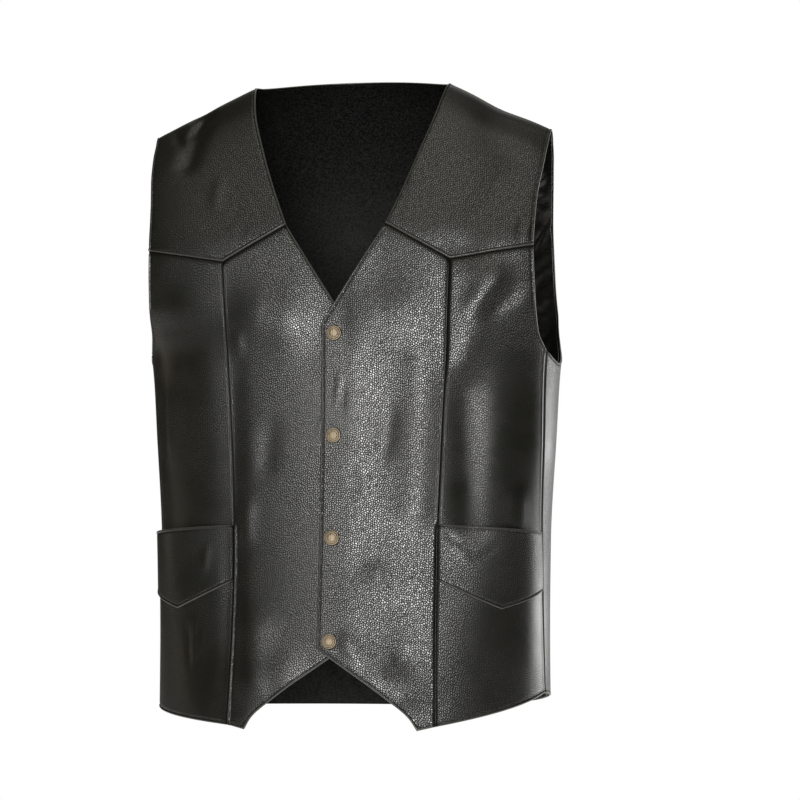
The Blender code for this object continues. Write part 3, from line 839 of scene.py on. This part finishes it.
def edge_relief(gap, where, finish, rise):
    lift = rise * np.exp(-((gap / RISE_REACH) ** 2)) - rim_fall(gap, finish.rim)
    if finish.stitch:
        lift += finish.welt * bump(gap, finish.stitch / 2, finish.stitch / WELT_NARROWING)
        pucker = 1 - PUCKER + PUCKER * np.cos(2 * math.pi * where / STITCH_PITCH)
        lift -= finish.groove * pucker * bump(gap, finish.stitch, GROOVE_WIDTH)
    else:
        lift += finish.welt * bump(gap, 2 * finish.rim, finish.rim)
    return lift


def rim_line(points, spots):
    line = points[spots]
    count = max(2, math.ceil(reach_of(line)[-1] / RIM_STEP) + 1)
    return along(line, np.linspace(0, 1, count))


def rim_edges(quads):
    """Edges that only one face has, in that face's direction."""
    pairs = np.concatenate([quads[:, [i, (i + 1) % 4]] for i in range(4)])
    forward = {(int(a), int(b)) for a, b in pairs}
    return np.array([(a, b) for a, b in forward if (b, a) not in forward])


Surface = namedtuple("Surface", "base normal high low gaps")


def surface_of(panel, inner, thickness, extra=0.0):
    """Outer and inner heights of a panel over the form, with its folds and finished edges."""
    base = body(panel.face, panel.share, panel.drop)
    normal = outward(panel.face, panel.share, panel.drop)
    low = inner + extra + fold_lift(base) + crease_lift(base, CREASES)
    high = low + thickness
    gaps = {}
    for name in sorted({rim.finish for rim in panel.rims}):
        found = [nearest(base, rim_line(base, rim.spots)) for rim in panel.rims if rim.finish == name]
        gap = np.min([pair[0] for pair in found], axis=0)
        where = np.choose(np.argmin([pair[0] for pair in found], axis=0), [pair[1] for pair in found])
        finish = FINISHES[name]
        rise = finish.rise
        if name == "plain_lap":
            below_mouth = MOUTH_SEAM_Z + POCKET_RISE_OVER / 2 - base[:, 2]
            rise = rise + POCKET_RISE * ease(below_mouth / POCKET_RISE_OVER)
        high = high + edge_relief(gap, where, finish, rise)
        low = low + rim_fall(gap, min(finish.rim, thickness / 3))
        gaps[name] = gap
    return Surface(base, normal, np.maximum(high, low + THINNEST), low, gaps)


def shell(panel, surface, outside, inside, folds=None):
    """A closed shell. Its inner faces are lined, apart from a facing along turned edges."""
    count = len(surface.base)
    outer = surface.base + surface.normal * surface.high[:, None]
    inner = surface.base + surface.normal * surface.low[:, None]
    a, b = rim_edges(panel.quads).T
    rim = np.stack((b, a, count + a, count + b), axis=1)
    faces = np.concatenate((panel.quads, rim, count + panel.quads[:, ::-1]))
    picks = np.zeros(len(faces), np.int32)
    turned = surface.gaps.get("turned", np.zeros(count))
    lined = turned[panel.quads].mean(axis=1) > FACING_WIDTH
    picks[len(panel.quads) + len(rim):] = lined
    rims = np.min(list(surface.gaps.values()), axis=0)
    shown = [gap for name, gap in surface.gaps.items() if FINISHES[name].rise > 0]
    rubbed_and_shaded = bump(np.min(shown, axis=0), 0, WEAR_WIDTH) if shown else np.zeros(count)
    # Beside sunk and plain lapped edges the values go negative: a painted shadow line that cuts the
    # leather's shine.
    if "lapped" in surface.gaps:
        rubbed_and_shaded = rubbed_and_shaded - bump(surface.gaps["lapped"], 0, SUNK_SHADE_WIDTH)
    if "plain_lap" in surface.gaps:
        rubbed_and_shaded = rubbed_and_shaded - LAP_PAINTED_SHADE * bump(surface.gaps["plain_lap"], 0, LAP_SHADE_WIDTH)
    cloth = cloth_place(panel.face, panel.share, panel.drop)
    marks = {
        "cloth": np.tile(cloth, (2, 1)),
        "grain": np.tile(grain_of(surface.base) * ease(rims / GRAIN_FADE), 2),
        "wear": np.concatenate((rubbed_and_shaded, np.zeros(count))),
    }
    # The ridges of the lining's slack, which get a painted sheen.
    if folds is not None:
        marks["folds"] = np.tile(folds, 2)
    return add_mesh(panel.name, np.concatenate((outer, inner)), faces, (outside, inside), picks, marks)


def add_mesh(name, points, faces, materials, picks=None, marks=None):
    mesh = bpy.data.meshes.new(name)
    mesh.from_pydata(points, [], faces)
    mesh.shade_smooth()
    for material in materials:
        mesh.materials.append(material)
    if picks is not None:
        mesh.polygons.foreach_set("material_index", picks)
    for mark, values in (marks or {}).items():
        kind, field = ("FLOAT", "value") if values.ndim == 1 else ("FLOAT_VECTOR", "vector")
        stored = mesh.attributes.new(mark, kind, "POINT").data
        stored.foreach_set(field, values.astype(np.float32).ravel())
    piece = bpy.data.objects.new(f"{name}_looks", mesh)
    bpy.context.scene.collection.objects.link(piece)
    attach(piece, "root")
    return piece


# Stitches

def stitch_form():
    """One stitch: a short rounded thread, along x, standing on the leather."""
    points = [(-0.5, 0, 0)]
    for x, scale in ((-0.36, 0.8), (0.0, 1.0), (0.36, 0.8)):
        for i in range(6):
            turn = math.pi * i / 3
            points.append((x, 0.5 * scale * math.cos(turn), scale * math.sin(turn)))
    points.append((0.5, 0, 0))
    faces = [(0, 1 + (i + 1) % 6, 1 + i, 1 + i) for i in range(6)]
    for k in range(2):
        for i in range(6):
            a, b = 1 + 6 * k + i, 1 + 6 * k + (i + 1) % 6
            faces.append((a, b, b + 6, a + 6))
    faces += [(13 + i, 13 + (i + 1) % 6, 19, 19) for i in range(6)]
    return np.array(points), np.array(faces)


def stitch_places(panel, surface):
    """Middles, directions and normals of all the stitches of a panel."""
    tree = KDTree(len(surface.base))
    for i, point in enumerate(surface.base):
        tree.insert(point, i)
    tree.balance()
    found = []
    for rim in panel.rims:
        finish = FINISHES[rim.finish]
        if not finish.stitch:
            continue
        line, normals = surface.base[rim.spots], surface.normal[rim.spots]
        length = reach_of(line)[-1]
        count = max(1, int((length - 2 * finish.stitch) / STITCH_PITCH))
        ends = (finish.stitch + STITCH_PITCH * np.arange(count)) / length
        at = along(line, ends)
        columns = [np.interp(ends * length, reach_of(line), column) for column in normals.T]
        up = np.stack(columns, axis=1)
        ahead = along(line, np.minimum(ends + STITCH_LOOK, 1))
        way = ahead - along(line, np.maximum(ends - STITCH_LOOK, 0))
        way /= np.linalg.norm(way, axis=1, keepdims=True)
        inward = np.cross(up, way)
        middle = count // 2
        probe = STITCH_PROBE * inward[middle]
        if tree.find(at[middle] + probe)[2] > tree.find(at[middle] - probe)[2]:
            inward = -inward
        for point, direction, normal in zip(at + finish.stitch * inward, way, up):
            near = tree.find_n(point, 4)
            weights = np.array([1 / (gap + 1e-4) for _, _, gap in near])
            heights = surface.high[[i for _, i, _ in near]]
            found.append((point + normal * (weights @ heights / weights.sum()), direction, normal))
    return [np.array(column) for column in zip(*found)]


def stitches(panel, surface, thread):
    middles, ways, normals = stitch_places(panel, surface)
    form, faces = stitch_form()
    count = np.arange(len(middles))
    tilt = STITCH_SLANT + STITCH_SLANT_SWING * np.sin(count * STITCH_SLANT_TURN)
    sides = np.cross(normals, ways)
    ways = ways * np.cos(tilt)[:, None] + sides * np.sin(tilt)[:, None]
    sides = np.cross(normals, ways)
    size = np.array(STITCH) * form
    points = (
        middles[:, None]
        + ways[:, None] * size[None, :, :1]
        + sides[:, None] * size[None, :, 1:2]
        + normals[:, None] * size[None, :, 2:]
    )
    joined = (faces[None] + count[:, None, None] * len(form)).reshape(-1, 4)
    polygons = [tuple(dict.fromkeys(face)) for face in joined.tolist()]
    piece = add_mesh(f"stitches_{panel.name}", points.reshape(-1, 3), polygons, (thread,))
    return piece


# Slack of the back's lining: short folds along both armholes, long ones above the hem, in metres

Uneven = namedtuple("Uneven", "middle swing")
SLACK_COUNT = 13
SLACK_TOP_Z = -0.055
SLACK_PITCH = 0.0155
SLACK_CEILING = 0.0004
SLACK_TURN = 2.4
SLACK_LEFT_PHASE = 0.7
LENGTH_TURN = 1.7
WIDTH_TURN = 3.1
TROUGH_X = 0.192
TROUGH_LENGTH = Uneven(0.040, 0.014)
TROUGH_WIDTH = Uneven(0.0042, 0.0012)
TROUGH_LIFT = Uneven(-0.0030, -0.0014)
TROUGH_DROP = Uneven(0.012, 0.022)
TROUGH_BOW = 0.003
RIDGE_X = (0.191, 0.158)
RIDGE_BELOW = 0.004
RIDGE_DROP = Uneven(0.026, 0.012)
RIDGE_BOW = -0.004
RIDGE_WIDTH = 0.0030
RIDGE_FULL = 0.0014
RIDGE_SHARE = Uneven(0.55, 0.45)
HEM_SLACK_X = [0.085 - 0.024 * i for i in range(7)]
HEM_SLACK_Z = (-0.500, -0.596)
HEM_SLACK_LEAN = 0.03
HEM_SLACK_BOW = 0.003
HEM_SLACK_WIDTH = 0.007
HEM_SLACK_LIFT = -0.002


def uneven(size, swing):
    return size.middle + size.swing * swing


def armhole_slack(side, i):
    """One trough and the ridge beside it, uneven in length and depth."""
    z = SLACK_TOP_Z - SLACK_PITCH * i
    swing = math.sin(SLACK_TURN * i + (SLACK_LEFT_PHASE if side == "left" else 0.0))
    trough_end = TROUGH_X - uneven(TROUGH_LENGTH, math.sin(LENGTH_TURN * i))
    trough_foot = z - uneven(TROUGH_DROP, swing)
    width = uneven(TROUGH_WIDTH, math.sin(WIDTH_TURN * i))
    lift = uneven(TROUGH_LIFT, swing)
    rise = RIDGE_FULL * uneven(RIDGE_SHARE, swing)
    start, end = RIDGE_X
    foot = z - uneven(RIDGE_DROP, swing)
    return (
        Crease(side, "back", TROUGH_X, z, trough_end, trough_foot, TROUGH_BOW * swing, width, lift),
        Crease(side, "back", start, z - RIDGE_BELOW, end, foot, RIDGE_BOW * swing, RIDGE_WIDTH, rise),
    )


def slack_creases():
    made = []
    for side in ("left", "right"):
        for i in range(SLACK_COUNT):
            made += armhole_slack(side, i)
    for x in HEM_SLACK_X:
        side = "left" if x > 0 else "right"
        top, foot = HEM_SLACK_Z
        line = (abs(x), top, abs(x + HEM_SLACK_LEAN), foot)
        made.append(Crease(side, "back", *line, HEM_SLACK_BOW, HEM_SLACK_WIDTH, HEM_SLACK_LIFT))
    return made


# Materials

class Shading:
    """The nodes of one tree, with short ways to add and join them."""

    def __init__(self, tree):
        self.nodes = tree.nodes
        self.links = tree.links

    def join(self, value, socket):
        """Links an output to the socket, or sets the socket to a plain value."""
        if isinstance(value, bpy.types.NodeSocket):
            self.links.new(value, socket)
        elif socket.type == "RGBA":
            socket.default_value = (*value, 1)
        else:
            socket.default_value = value

    def add(self, kind, output, inputs, **settings):
        made = self.nodes.new(f"ShaderNode{kind}")
        for name, value in settings.items():
            setattr(made, name, value)
        for name, value in inputs.items():
            self.join(value, made.inputs[name])
        return made.outputs[output]

    def math(self, kind, first, second):
        return self.add("Math", 0, {0: first, 1: second}, operation=kind)

    def vectors(self, kind, output, inputs):
        return self.add("VectorMath", output, inputs, operation=kind)

    def ramp(self, source, low, high, to_low=0.0, to_high=1.0):
        inputs = {"Value": source, "From Min": low, "From Max": high, "To Min": to_low, "To Max": to_high}
        return self.add("MapRange", 0, inputs, interpolation_type="SMOOTHSTEP")

    def mix(self, factor, first, second):
        return self.add("Mix", "Result", {"Factor": factor, "A": first, "B": second}, data_type="RGBA")

    def noise(self, where, scale, detail, output="Fac"):
        return self.add("TexNoise", output, {"Vector": where, "Scale": scale, "Detail": detail})

    def cells(self, where, scale, randomness):
        inputs = {"Vector": where, "Scale": scale, "Randomness": randomness}
        settings = {"voronoi_dimensions": "2D", "feature": "DISTANCE_TO_EDGE"}
        return self.add("TexVoronoi", "Distance", inputs, **settings)

    def mark(self, name, output="Fac"):
        """A value stored on the mesh."""
        return self.add("Attribute", output, {}, attribute_name=name)

    def place(self):
        return self.add("TexCoord", "Object", {})

    def relief(self, height, strength, distance):
        return self.add("Bump", "Normal", {"Height": height, "Strength": strength, "Distance": distance})

    def surface(self, inputs):
        shader = self.nodes["Principled BSDF"]
        for name, value in inputs.items():
            self.join(value, shader.inputs[name])


def new_material(name):
    material = bpy.data.materials.new(name)
    material.use_nodes = True
    return material, Shading(material.node_tree)


# Leather: grain per metre, depths in metres, and how much the hollows between pebbles are dulled, their
# cut shine partly painted shade
WARP_SCALE = 170.0
WARP_REACH = (0.0012, 0.0012, 0.0)
PEBBLE_SCALE = 470.0
PEBBLE_UNEVEN = 0.85
PEBBLE_EDGE = 0.42
SMALL_SCALE = 830.0
SMALL_EDGE = 0.34
SMALL_HEIGHT = 0.08
PORE_SCALE = 2100.0
PORE_HEIGHT = 0.02
PATCH_SCALE = 26.0
PATCH_RANGE = (0.3, 0.7)
GRAIN_DEPTH = 0.00009
HOLLOW_EDGE = 0.38
HOLLOW_ROUGH = 0.25
HOLLOW_DARK = 0.97
PEBBLE_SHINE = 0.55
PLAIN_SHINE = 0.45
LEATHER_ROUGH = (0.24, 0.31)
LEATHER_DARK = (0.0028, 0.0028, 0.0018)
LEATHER_LIGHT = (0.0052, 0.0050, 0.0036)
WORN_EDGE = (0.065, 0.063, 0.056)


def leather_material():
    """Black pebbled leather: uneven cells with hollows that are dull and partly painted shade, over fine
    pores, paler on rubbed edges, with painted shadow lines beside lapped edges.
    """
    material, shade = new_material("black_leather")
    where = shade.place()
    warp = shade.noise(where, WARP_SCALE, 2.0, "Color")
    laid = shade.vectors("MULTIPLY_ADD", 0, {0: warp, 1: WARP_REACH, 2: shade.mark("cloth", "Vector")})
    cells = shade.cells(laid, PEBBLE_SCALE, PEBBLE_UNEVEN)
    small = shade.cells(laid, SMALL_SCALE, 1.0)
    pores = shade.noise(where, PORE_SCALE, 3.0)
    patches = shade.noise(where, PATCH_SCALE, 4.0)
    grain = shade.mark("grain")
    wear = shade.mark("wear")

    coarse = shade.math("MULTIPLY", shade.ramp(cells, 0.0, PEBBLE_EDGE), grain)
    fine = shade.math("MULTIPLY", shade.ramp(small, 0.0, SMALL_EDGE), SMALL_HEIGHT)
    pore = shade.math("MULTIPLY", pores, PORE_HEIGHT)
    height = shade.math("ADD", shade.math("ADD", coarse, fine), pore)

    colour = shade.mix(patches, LEATHER_DARK, LEATHER_LIGHT)
    cloudy = shade.ramp(patches, *PATCH_RANGE, *LEATHER_ROUGH)
    hollow = shade.ramp(cells, 0.0, HOLLOW_EDGE, 1.0, 0.0)
    dull = shade.math("MULTIPLY", hollow, grain)
    rough = shade.math("MULTIPLY", dull, HOLLOW_ROUGH)
    # The hollows lose most of their shine: partly their own dullness, partly painted shade between the
    # pebbles.
    pebbled = shade.math("ADD", shade.math("MULTIPLY", hollow, -HOLLOW_DARK), PEBBLE_SHINE)
    shine = shade.math("ADD", shade.math("MULTIPLY", pebbled, grain), PLAIN_SHINE)
    # Negative marks cut the shine: a painted shadow beside sunk and plain lapped edges.
    shadow_cut = shade.math("ADD", shade.math("MINIMUM", wear, 0.0), 1.0)
    shade.surface({
        "Base Color": shade.mix(wear, colour, WORN_EDGE),
        "Roughness": shade.math("ADD", cloudy, rough),
        "Specular IOR Level": shade.math("MULTIPLY", shine, shadow_cut),
        "Normal": shade.relief(height, 1.0, GRAIN_DEPTH),
    })
    return material


# Lining: dull in the middle, glossy on the slack, which starts this far from the centre line, with a
# painted sheen on the slack's ridges
WEAVE_SCALE = 520.0
WEAVE_RANGE = (0.32, 0.68)
WEAVE_DEPTH = 0.0001
SLACK_FROM = (0.125, 0.175)
LINING_ROUGH = (0.52, 0.30)
LINING_SHINE = (0.06, 0.80)
LINING_DARK = (0.0006, 0.0006, 0.0006)
LINING_LIGHT = (0.0085, 0.0085, 0.0082)
LINING_PAINTED_SHEEN = (0.030, 0.030, 0.0295)


def lining_material():
    """Black satin: a fine uneven weave, glossier on the slack, with a painted sheen on its ridges."""
    material, shade = new_material("black_satin")
    where = shade.place()
    threads = shade.noise(where, WEAVE_SCALE, 3.0)
    aside = shade.math("ABSOLUTE", shade.add("SeparateXYZ", "X", {0: where}), 0.0)
    slack = shade.ramp(aside, *SLACK_FROM)
    colour = shade.mix(shade.ramp(threads, *WEAVE_RANGE), LINING_DARK, LINING_LIGHT)
    shade.surface({
        # Painted sheen: a paler colour on the ridges of the slack.
        "Base Color": shade.mix(shade.mark("folds"), colour, LINING_PAINTED_SHEEN),
        "Roughness": shade.ramp(slack, 0.0, 1.0, *LINING_ROUGH),
        "Specular IOR Level": shade.ramp(slack, 0.0, 1.0, *LINING_SHINE),
        "Normal": shade.relief(threads, 0.5, WEAVE_DEPTH),
    })
    return material


TWIST_SCALE = 1400.0
TWIST_DEPTH = 0.0001
THREAD_DARK = (0.010, 0.010, 0.0095)
THREAD_LIGHT = (0.022, 0.022, 0.020)


def thread_material():
    """Black twisted thread."""
    material, shade = new_material("black_thread")
    inputs = {"Vector": shade.place(), "Scale": TWIST_SCALE, "Distortion": 1.0}
    twist = shade.add("TexWave", "Fac", inputs, bands_direction="DIAGONAL")
    shade.surface({
        "Base Color": shade.mix(twist, THREAD_DARK, THREAD_LIGHT),
        "Roughness": 0.45,
        "Normal": shade.relief(twist, 0.6, TWIST_DEPTH),
    })
    return material


MOTTLE_SCALE = 700.0
MOTTLE_SHARE = 0.9
MOTTLE_RANGE = (0.3, 0.7)
MOTTLE_DEPTH = 0.0002
BRASS_RANGE = (0.60, 1.20)
BRASS_DARK = (0.020, 0.015, 0.009)
BRASS_LIGHT = (0.27, 0.22, 0.155)
BRASS_ROUGH = (0.36, 0.56)


def brass_material():
    """Aged pale brass: bright on the raised parts, brown in the hollows, with mottled rubbing, darker
    where a cap's rim carries painted shadow.
    """
    material, shade = new_material("aged_brass")
    mottle = shade.noise(shade.place(), MOTTLE_SCALE, 4.0)
    proud = shade.math("ADD", shade.mark("grain"), shade.math("MULTIPLY", mottle, MOTTLE_SHARE))
    shade.surface({
        "Base Color": shade.mix(shade.ramp(proud, *BRASS_RANGE), BRASS_DARK, BRASS_LIGHT),
        "Roughness": shade.ramp(mottle, *MOTTLE_RANGE, *BRASS_ROUGH),
        "Normal": shade.relief(mottle, 0.3, MOTTLE_DEPTH),
        "Metallic": 1.0,
    })
    return material


# Snap caps

CAP_RADIUS = 0.0077
CAP_HEIGHT = 0.0033
CAP_RINGS = 44
CAP_STEPS = 120
CAP_TURN = 0.3
PETALS = 8
BEADS = 22
DOME_ROUND = 2.6
DOME_FALL = 0.75

# Rings of relief on a cap, over a share of its radius, with waves around it
CapRelief = namedtuple("CapRelief", "height at width waves power", defaults=(0, 1.0))
CAP_RELIEFS = (
    CapRelief(0.00030, 0.90, 0.045),
    CapRelief(-0.00022, 0.80, 0.040),
    CapRelief(0.00030, 0.68, 0.060, BEADS),
    CapRelief(-0.00018, 0.56, 0.040),
    CapRelief(0.00034, 0.33, 0.15, PETALS, 0.6),
    CapRelief(0.00040, 0.0, 0.10),
)

# How light the brass is: plain, by relief, and darker towards the rim as painted shadow
PROUD_PLAIN = 0.55
PROUD_RELIEF = 0.0006
PAINTED_RIM_SHADE = 0.5
RIM_SHADE_FROM = 0.86
RIM_SHADE_OVER = 0.1
PROUD_PEAK = 1.0
PROUD_FOOT = 0.3


def cap_level(share, turn):
    """Height over the leather, and how far a spot stands proud, over a share of the radius."""
    dome = CAP_HEIGHT * (1 - share**DOME_ROUND) ** DOME_FALL
    relief = np.zeros_like(share)
    for row in CAP_RELIEFS:
        wave = 0.5 + 0.5 * np.cos(row.waves * turn)
        relief += row.height * bump(share, row.at, row.width) * wave**row.power
    return np.maximum(dome + relief, 0), relief


def snap_cap(number, metal):
    share, drop = place("front", (0.0, SNAP_TOP_Z - (number - 1) * SNAP_PITCH)).T
    normal = outward("front", share, drop)[0]
    lap = LEATHER + LAYER_GAP
    centre = body("front", share, drop)[0] + normal * (lap + LEATHER + SEAM_GAP)
    right = np.cross(normal, (0.0, 0.0, 1.0))
    right /= np.linalg.norm(right)
    up = np.cross(right, normal)
    shares = np.linspace(0, 1, CAP_RINGS + 1)[1:]
    turns = np.linspace(0, 2 * math.pi, CAP_STEPS, endpoint=False) + CAP_TURN * number
    grid_share, grid_turn = np.meshgrid(shares, turns, indexing="ij")
    level, relief = cap_level(grid_share, grid_turn)
    flat = CAP_RADIUS * grid_share[..., None] * (
        np.cos(grid_turn)[..., None] * right + np.sin(grid_turn)[..., None] * up
    )
    points = (centre + flat + level[..., None] * normal).reshape(-1, 3)
    peak = centre + normal * cap_level(np.zeros(1), np.zeros(1))[0][0]
    points = np.concatenate((points, peak[None], centre[None]))
    top, foot = len(points) - 2, len(points) - 1
    spots = np.arange(top).reshape(CAP_RINGS, CAP_STEPS)
    spots = np.concatenate((spots, spots[:, :1]), axis=1)
    faces = grid_quads(spots).tolist()
    inner, outer = spots[0].tolist(), spots[-1].tolist()
    faces += [(top, b, a) for a, b in zip(inner[:-1], inner[1:])]
    faces += [(a, b, foot) for a, b in zip(outer[:-1], outer[1:])]
    # Darker towards the cap's rim: painted shadow, stored with the relief in the brass's mark.
    rim = ease((grid_share - RIM_SHADE_FROM) / RIM_SHADE_OVER)
    proud = PROUD_PLAIN + relief / PROUD_RELIEF - PAINTED_RIM_SHADE * rim
    proud = np.concatenate((proud.ravel(), (PROUD_PEAK, PROUD_FOOT)))
    faces = [face[::-1] for face in faces]
    piece = add_mesh(f"snap_cap_{number}", points, faces, (metal,), marks={"grain": proud})
    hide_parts(f"snap_cap_{number}")
    return piece


# Cut sizes of the sheets before sewing, as width, length and area: a record that no piece here fills
Cut = namedtuple("Cut", "width length area")


def declare(node_name):
    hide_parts(node_name)


Stuff = namedtuple("Stuff", "leather lining thread metal")


def leather_piece(panel, inner, thickness, stuff, inside):
    surface = surface_of(panel, inner, thickness)
    piece = shell(panel, surface, stuff.leather, inside)
    sewing = stitches(panel, surface, stuff.thread)
    declare(panel.name)


def dress_front(side, stuff):
    leather_piece(yoke_panel(side), 0.0, LEATHER, stuff, stuff.lining)
    centre = centre_front_panel(side)
    lap = lap_lift(centre) if side == "left" else 0.0
    leather_piece(centre, lap, LEATHER, stuff, stuff.lining)
    leather_piece(side_front_panel(side), 0.0, LEATHER, stuff, stuff.lining)
    pocket = patch_panel("pocket", side, POCKET_HEIGHT, HEM_SEAM_Z, SIDE_HEM_Z[side])
    leather_piece(pocket, pocket_lift(pocket), PATCH, stuff, stuff.leather)
    cuff = patch_panel("pocket_cuff", side, CUFF_HEIGHT, CUFF_SEAM_Z, CUFF_SIDE_Z, CUFF_TIP_AT)
    stand = pocket_lift(cuff) + PATCH + CUFF_GAP
    leather_piece(cuff, stand, PATCH, stuff, stuff.leather)


def dress_back(stuff):
    back = back_panel()
    leather_piece(back, 0.0, LEATHER, stuff, stuff.leather)
    inside = back._replace(name="back_lining", rims=[Rim("lining", rim.spots) for rim in back.rims])
    points = body("back", inside.share, inside.drop)
    creases = slack_creases()
    slack = np.minimum(crease_lift(points, creases), SLACK_CEILING)
    # Ridges of the slack, for the painted sheen in the lining's colour.
    ridges = crease_lift(points, [crease for crease in creases if crease.lift > 0])
    surface = surface_of(inside, -LINING_GAP - LINING, LINING, slack)
    piece = shell(inside, surface, stuff.lining, stuff.lining, np.clip(ridges / RIDGE_FULL, 0, 1))
    declare("back_lining")


def dress_snaps(metal):
    """New caps, and the snap backs as the solids they are, in the same metal."""
    for number in range(1, SNAP_COUNT + 1):
        snap_cap(number, metal)
        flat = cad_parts[f"snap_back_{number}"]
        flat.data.materials.clear()
        flat.data.materials.append(metal)


# Camera, lights and surroundings

CAMERA_TURN = math.radians(12.0)
CAMERA_AWAY = 3.6
EYE_Z = -0.430
IMAGE_SIZE = 800
FOCAL_PIXELS = 3571.0
AXIS_X_PIXEL = 352.7
EYE_Y_PIXEL = 540.0
SENSOR = 36.0
FLOOR_Z = -0.95


def camera():
    forward = Vector((-math.sin(CAMERA_TURN), math.cos(CAMERA_TURN), 0))
    right = Vector((math.cos(CAMERA_TURN), math.sin(CAMERA_TURN), 0))
    aim = (
        forward
        + right * ((IMAGE_SIZE / 2 - AXIS_X_PIXEL) / FOCAL_PIXELS)
        + Vector((0, 0, (EYE_Y_PIXEL - IMAGE_SIZE / 2) / FOCAL_PIXELS))
    )
    data = bpy.data.cameras.new("photo_camera")
    data.sensor_width = SENSOR
    data.lens = FOCAL_PIXELS * SENSOR / IMAGE_SIZE
    made = bpy.data.objects.new("photo_camera", data)
    made.location = -forward * CAMERA_AWAY + Vector((0, 0, EYE_Z))
    made.rotation_euler = aim.to_track_quat("-Z", "Y").to_euler()
    bpy.context.scene.collection.objects.link(made)
    bpy.context.scene.camera = made


# Soft lights of the studio, as round patches of sky that fade from their inner to their outer angle
Glow = namedtuple("Glow", "turn rise inner outer strength colour")
GLOWS = (
    Glow(6, 3, 0, 18, 22.0, (1.0, 1.0, 0.98)),
    Glow(-17, 4, 0, 17, 1.0, (1.0, 1.0, 0.98)),
    Glow(138, -7, 10, 21, 6.5, (1.0, 1.0, 1.0)),
    Glow(170, 0, 8, 24, 0.7, (1.0, 1.0, 1.0)),
    Glow(203, 0, 3, 13, 0.30, (1.0, 0.90, 0.75)),
    Glow(270, -6, 3, 13, 1.0, (1.0, 0.86, 0.66)),
    Glow(2, 56, 0, 42, 1.65, (1.0, 0.97, 0.90)),
    Glow(180, 48, 0, 34, 0.90, (1.0, 0.98, 0.95)),
)
DIM = (0.040, 0.037, 0.027)


def glow_colour(shade, way, glow):
    turn, rise = math.radians(glow.turn), math.radians(glow.rise)
    aim = (math.sin(turn) * math.cos(rise), -math.cos(turn) * math.cos(rise), math.sin(rise))
    facing = shade.vectors("DOT_PRODUCT", "Value", {0: way, 1: aim})
    edges = math.cos(math.radians(glow.outer)), math.cos(math.radians(glow.inner))
    level = shade.ramp(facing, *edges, 0.0, glow.strength)
    return shade.vectors("SCALE", 0, {0: glow.colour, "Scale": level})


def surroundings():
    """White seen directly; for the lighting, soft glows over a dim warm room."""
    world = bpy.data.worlds.new("studio")
    bpy.context.scene.world = world
    world.use_nodes = True
    shade = Shading(world.node_tree)
    way = shade.add("TexCoord", "Generated", {})
    total = DIM
    for glow in GLOWS:
        total = shade.vectors("ADD", 0, {0: glow_colour(shade, way, glow), 1: total})
    lit = shade.nodes["Background"]
    shade.join(total, lit.inputs["Color"])
    white = shade.add("Background", 0, {"Color": (1, 1, 1)})
    direct = shade.add("LightPath", "Is Camera Ray", {})
    chosen = shade.add("MixShader", 0, {0: direct, 1: lit.outputs[0], 2: white})
    shade.join(chosen, shade.nodes["World Output"].inputs["Surface"])


FLOOR_HALF = 3.0
FLOOR_GLOW = 0.45


def floor():
    corners = [(x, y, FLOOR_Z) for x, y in ((-1, -1), (1, -1), (1, 1), (-1, 1))]
    mesh = bpy.data.meshes.new("floor")
    mesh.from_pydata([(x * FLOOR_HALF, y * FLOOR_HALF, z) for x, y, z in corners], [], [(0, 1, 2, 3)])
    material, shade = new_material("pale_floor")
    shade.surface({
        "Base Color": (0.9, 0.9, 0.9),
        "Roughness": 0.8,
        "Emission Color": (1, 1, 1),
        "Emission Strength": FLOOR_GLOW,
    })
    mesh.materials.append(material)
    made = bpy.data.objects.new("floor", mesh)
    bpy.context.scene.collection.objects.link(made)


camera()
surroundings()
floor()
materials = Stuff(leather_material(), lining_material(), thread_material(), brass_material())
dress_front("left", materials)
dress_front("right", materials)
dress_back(materials)
dress_snaps(materials.metal)
bpy.context.scene.view_settings.view_transform = "Standard"
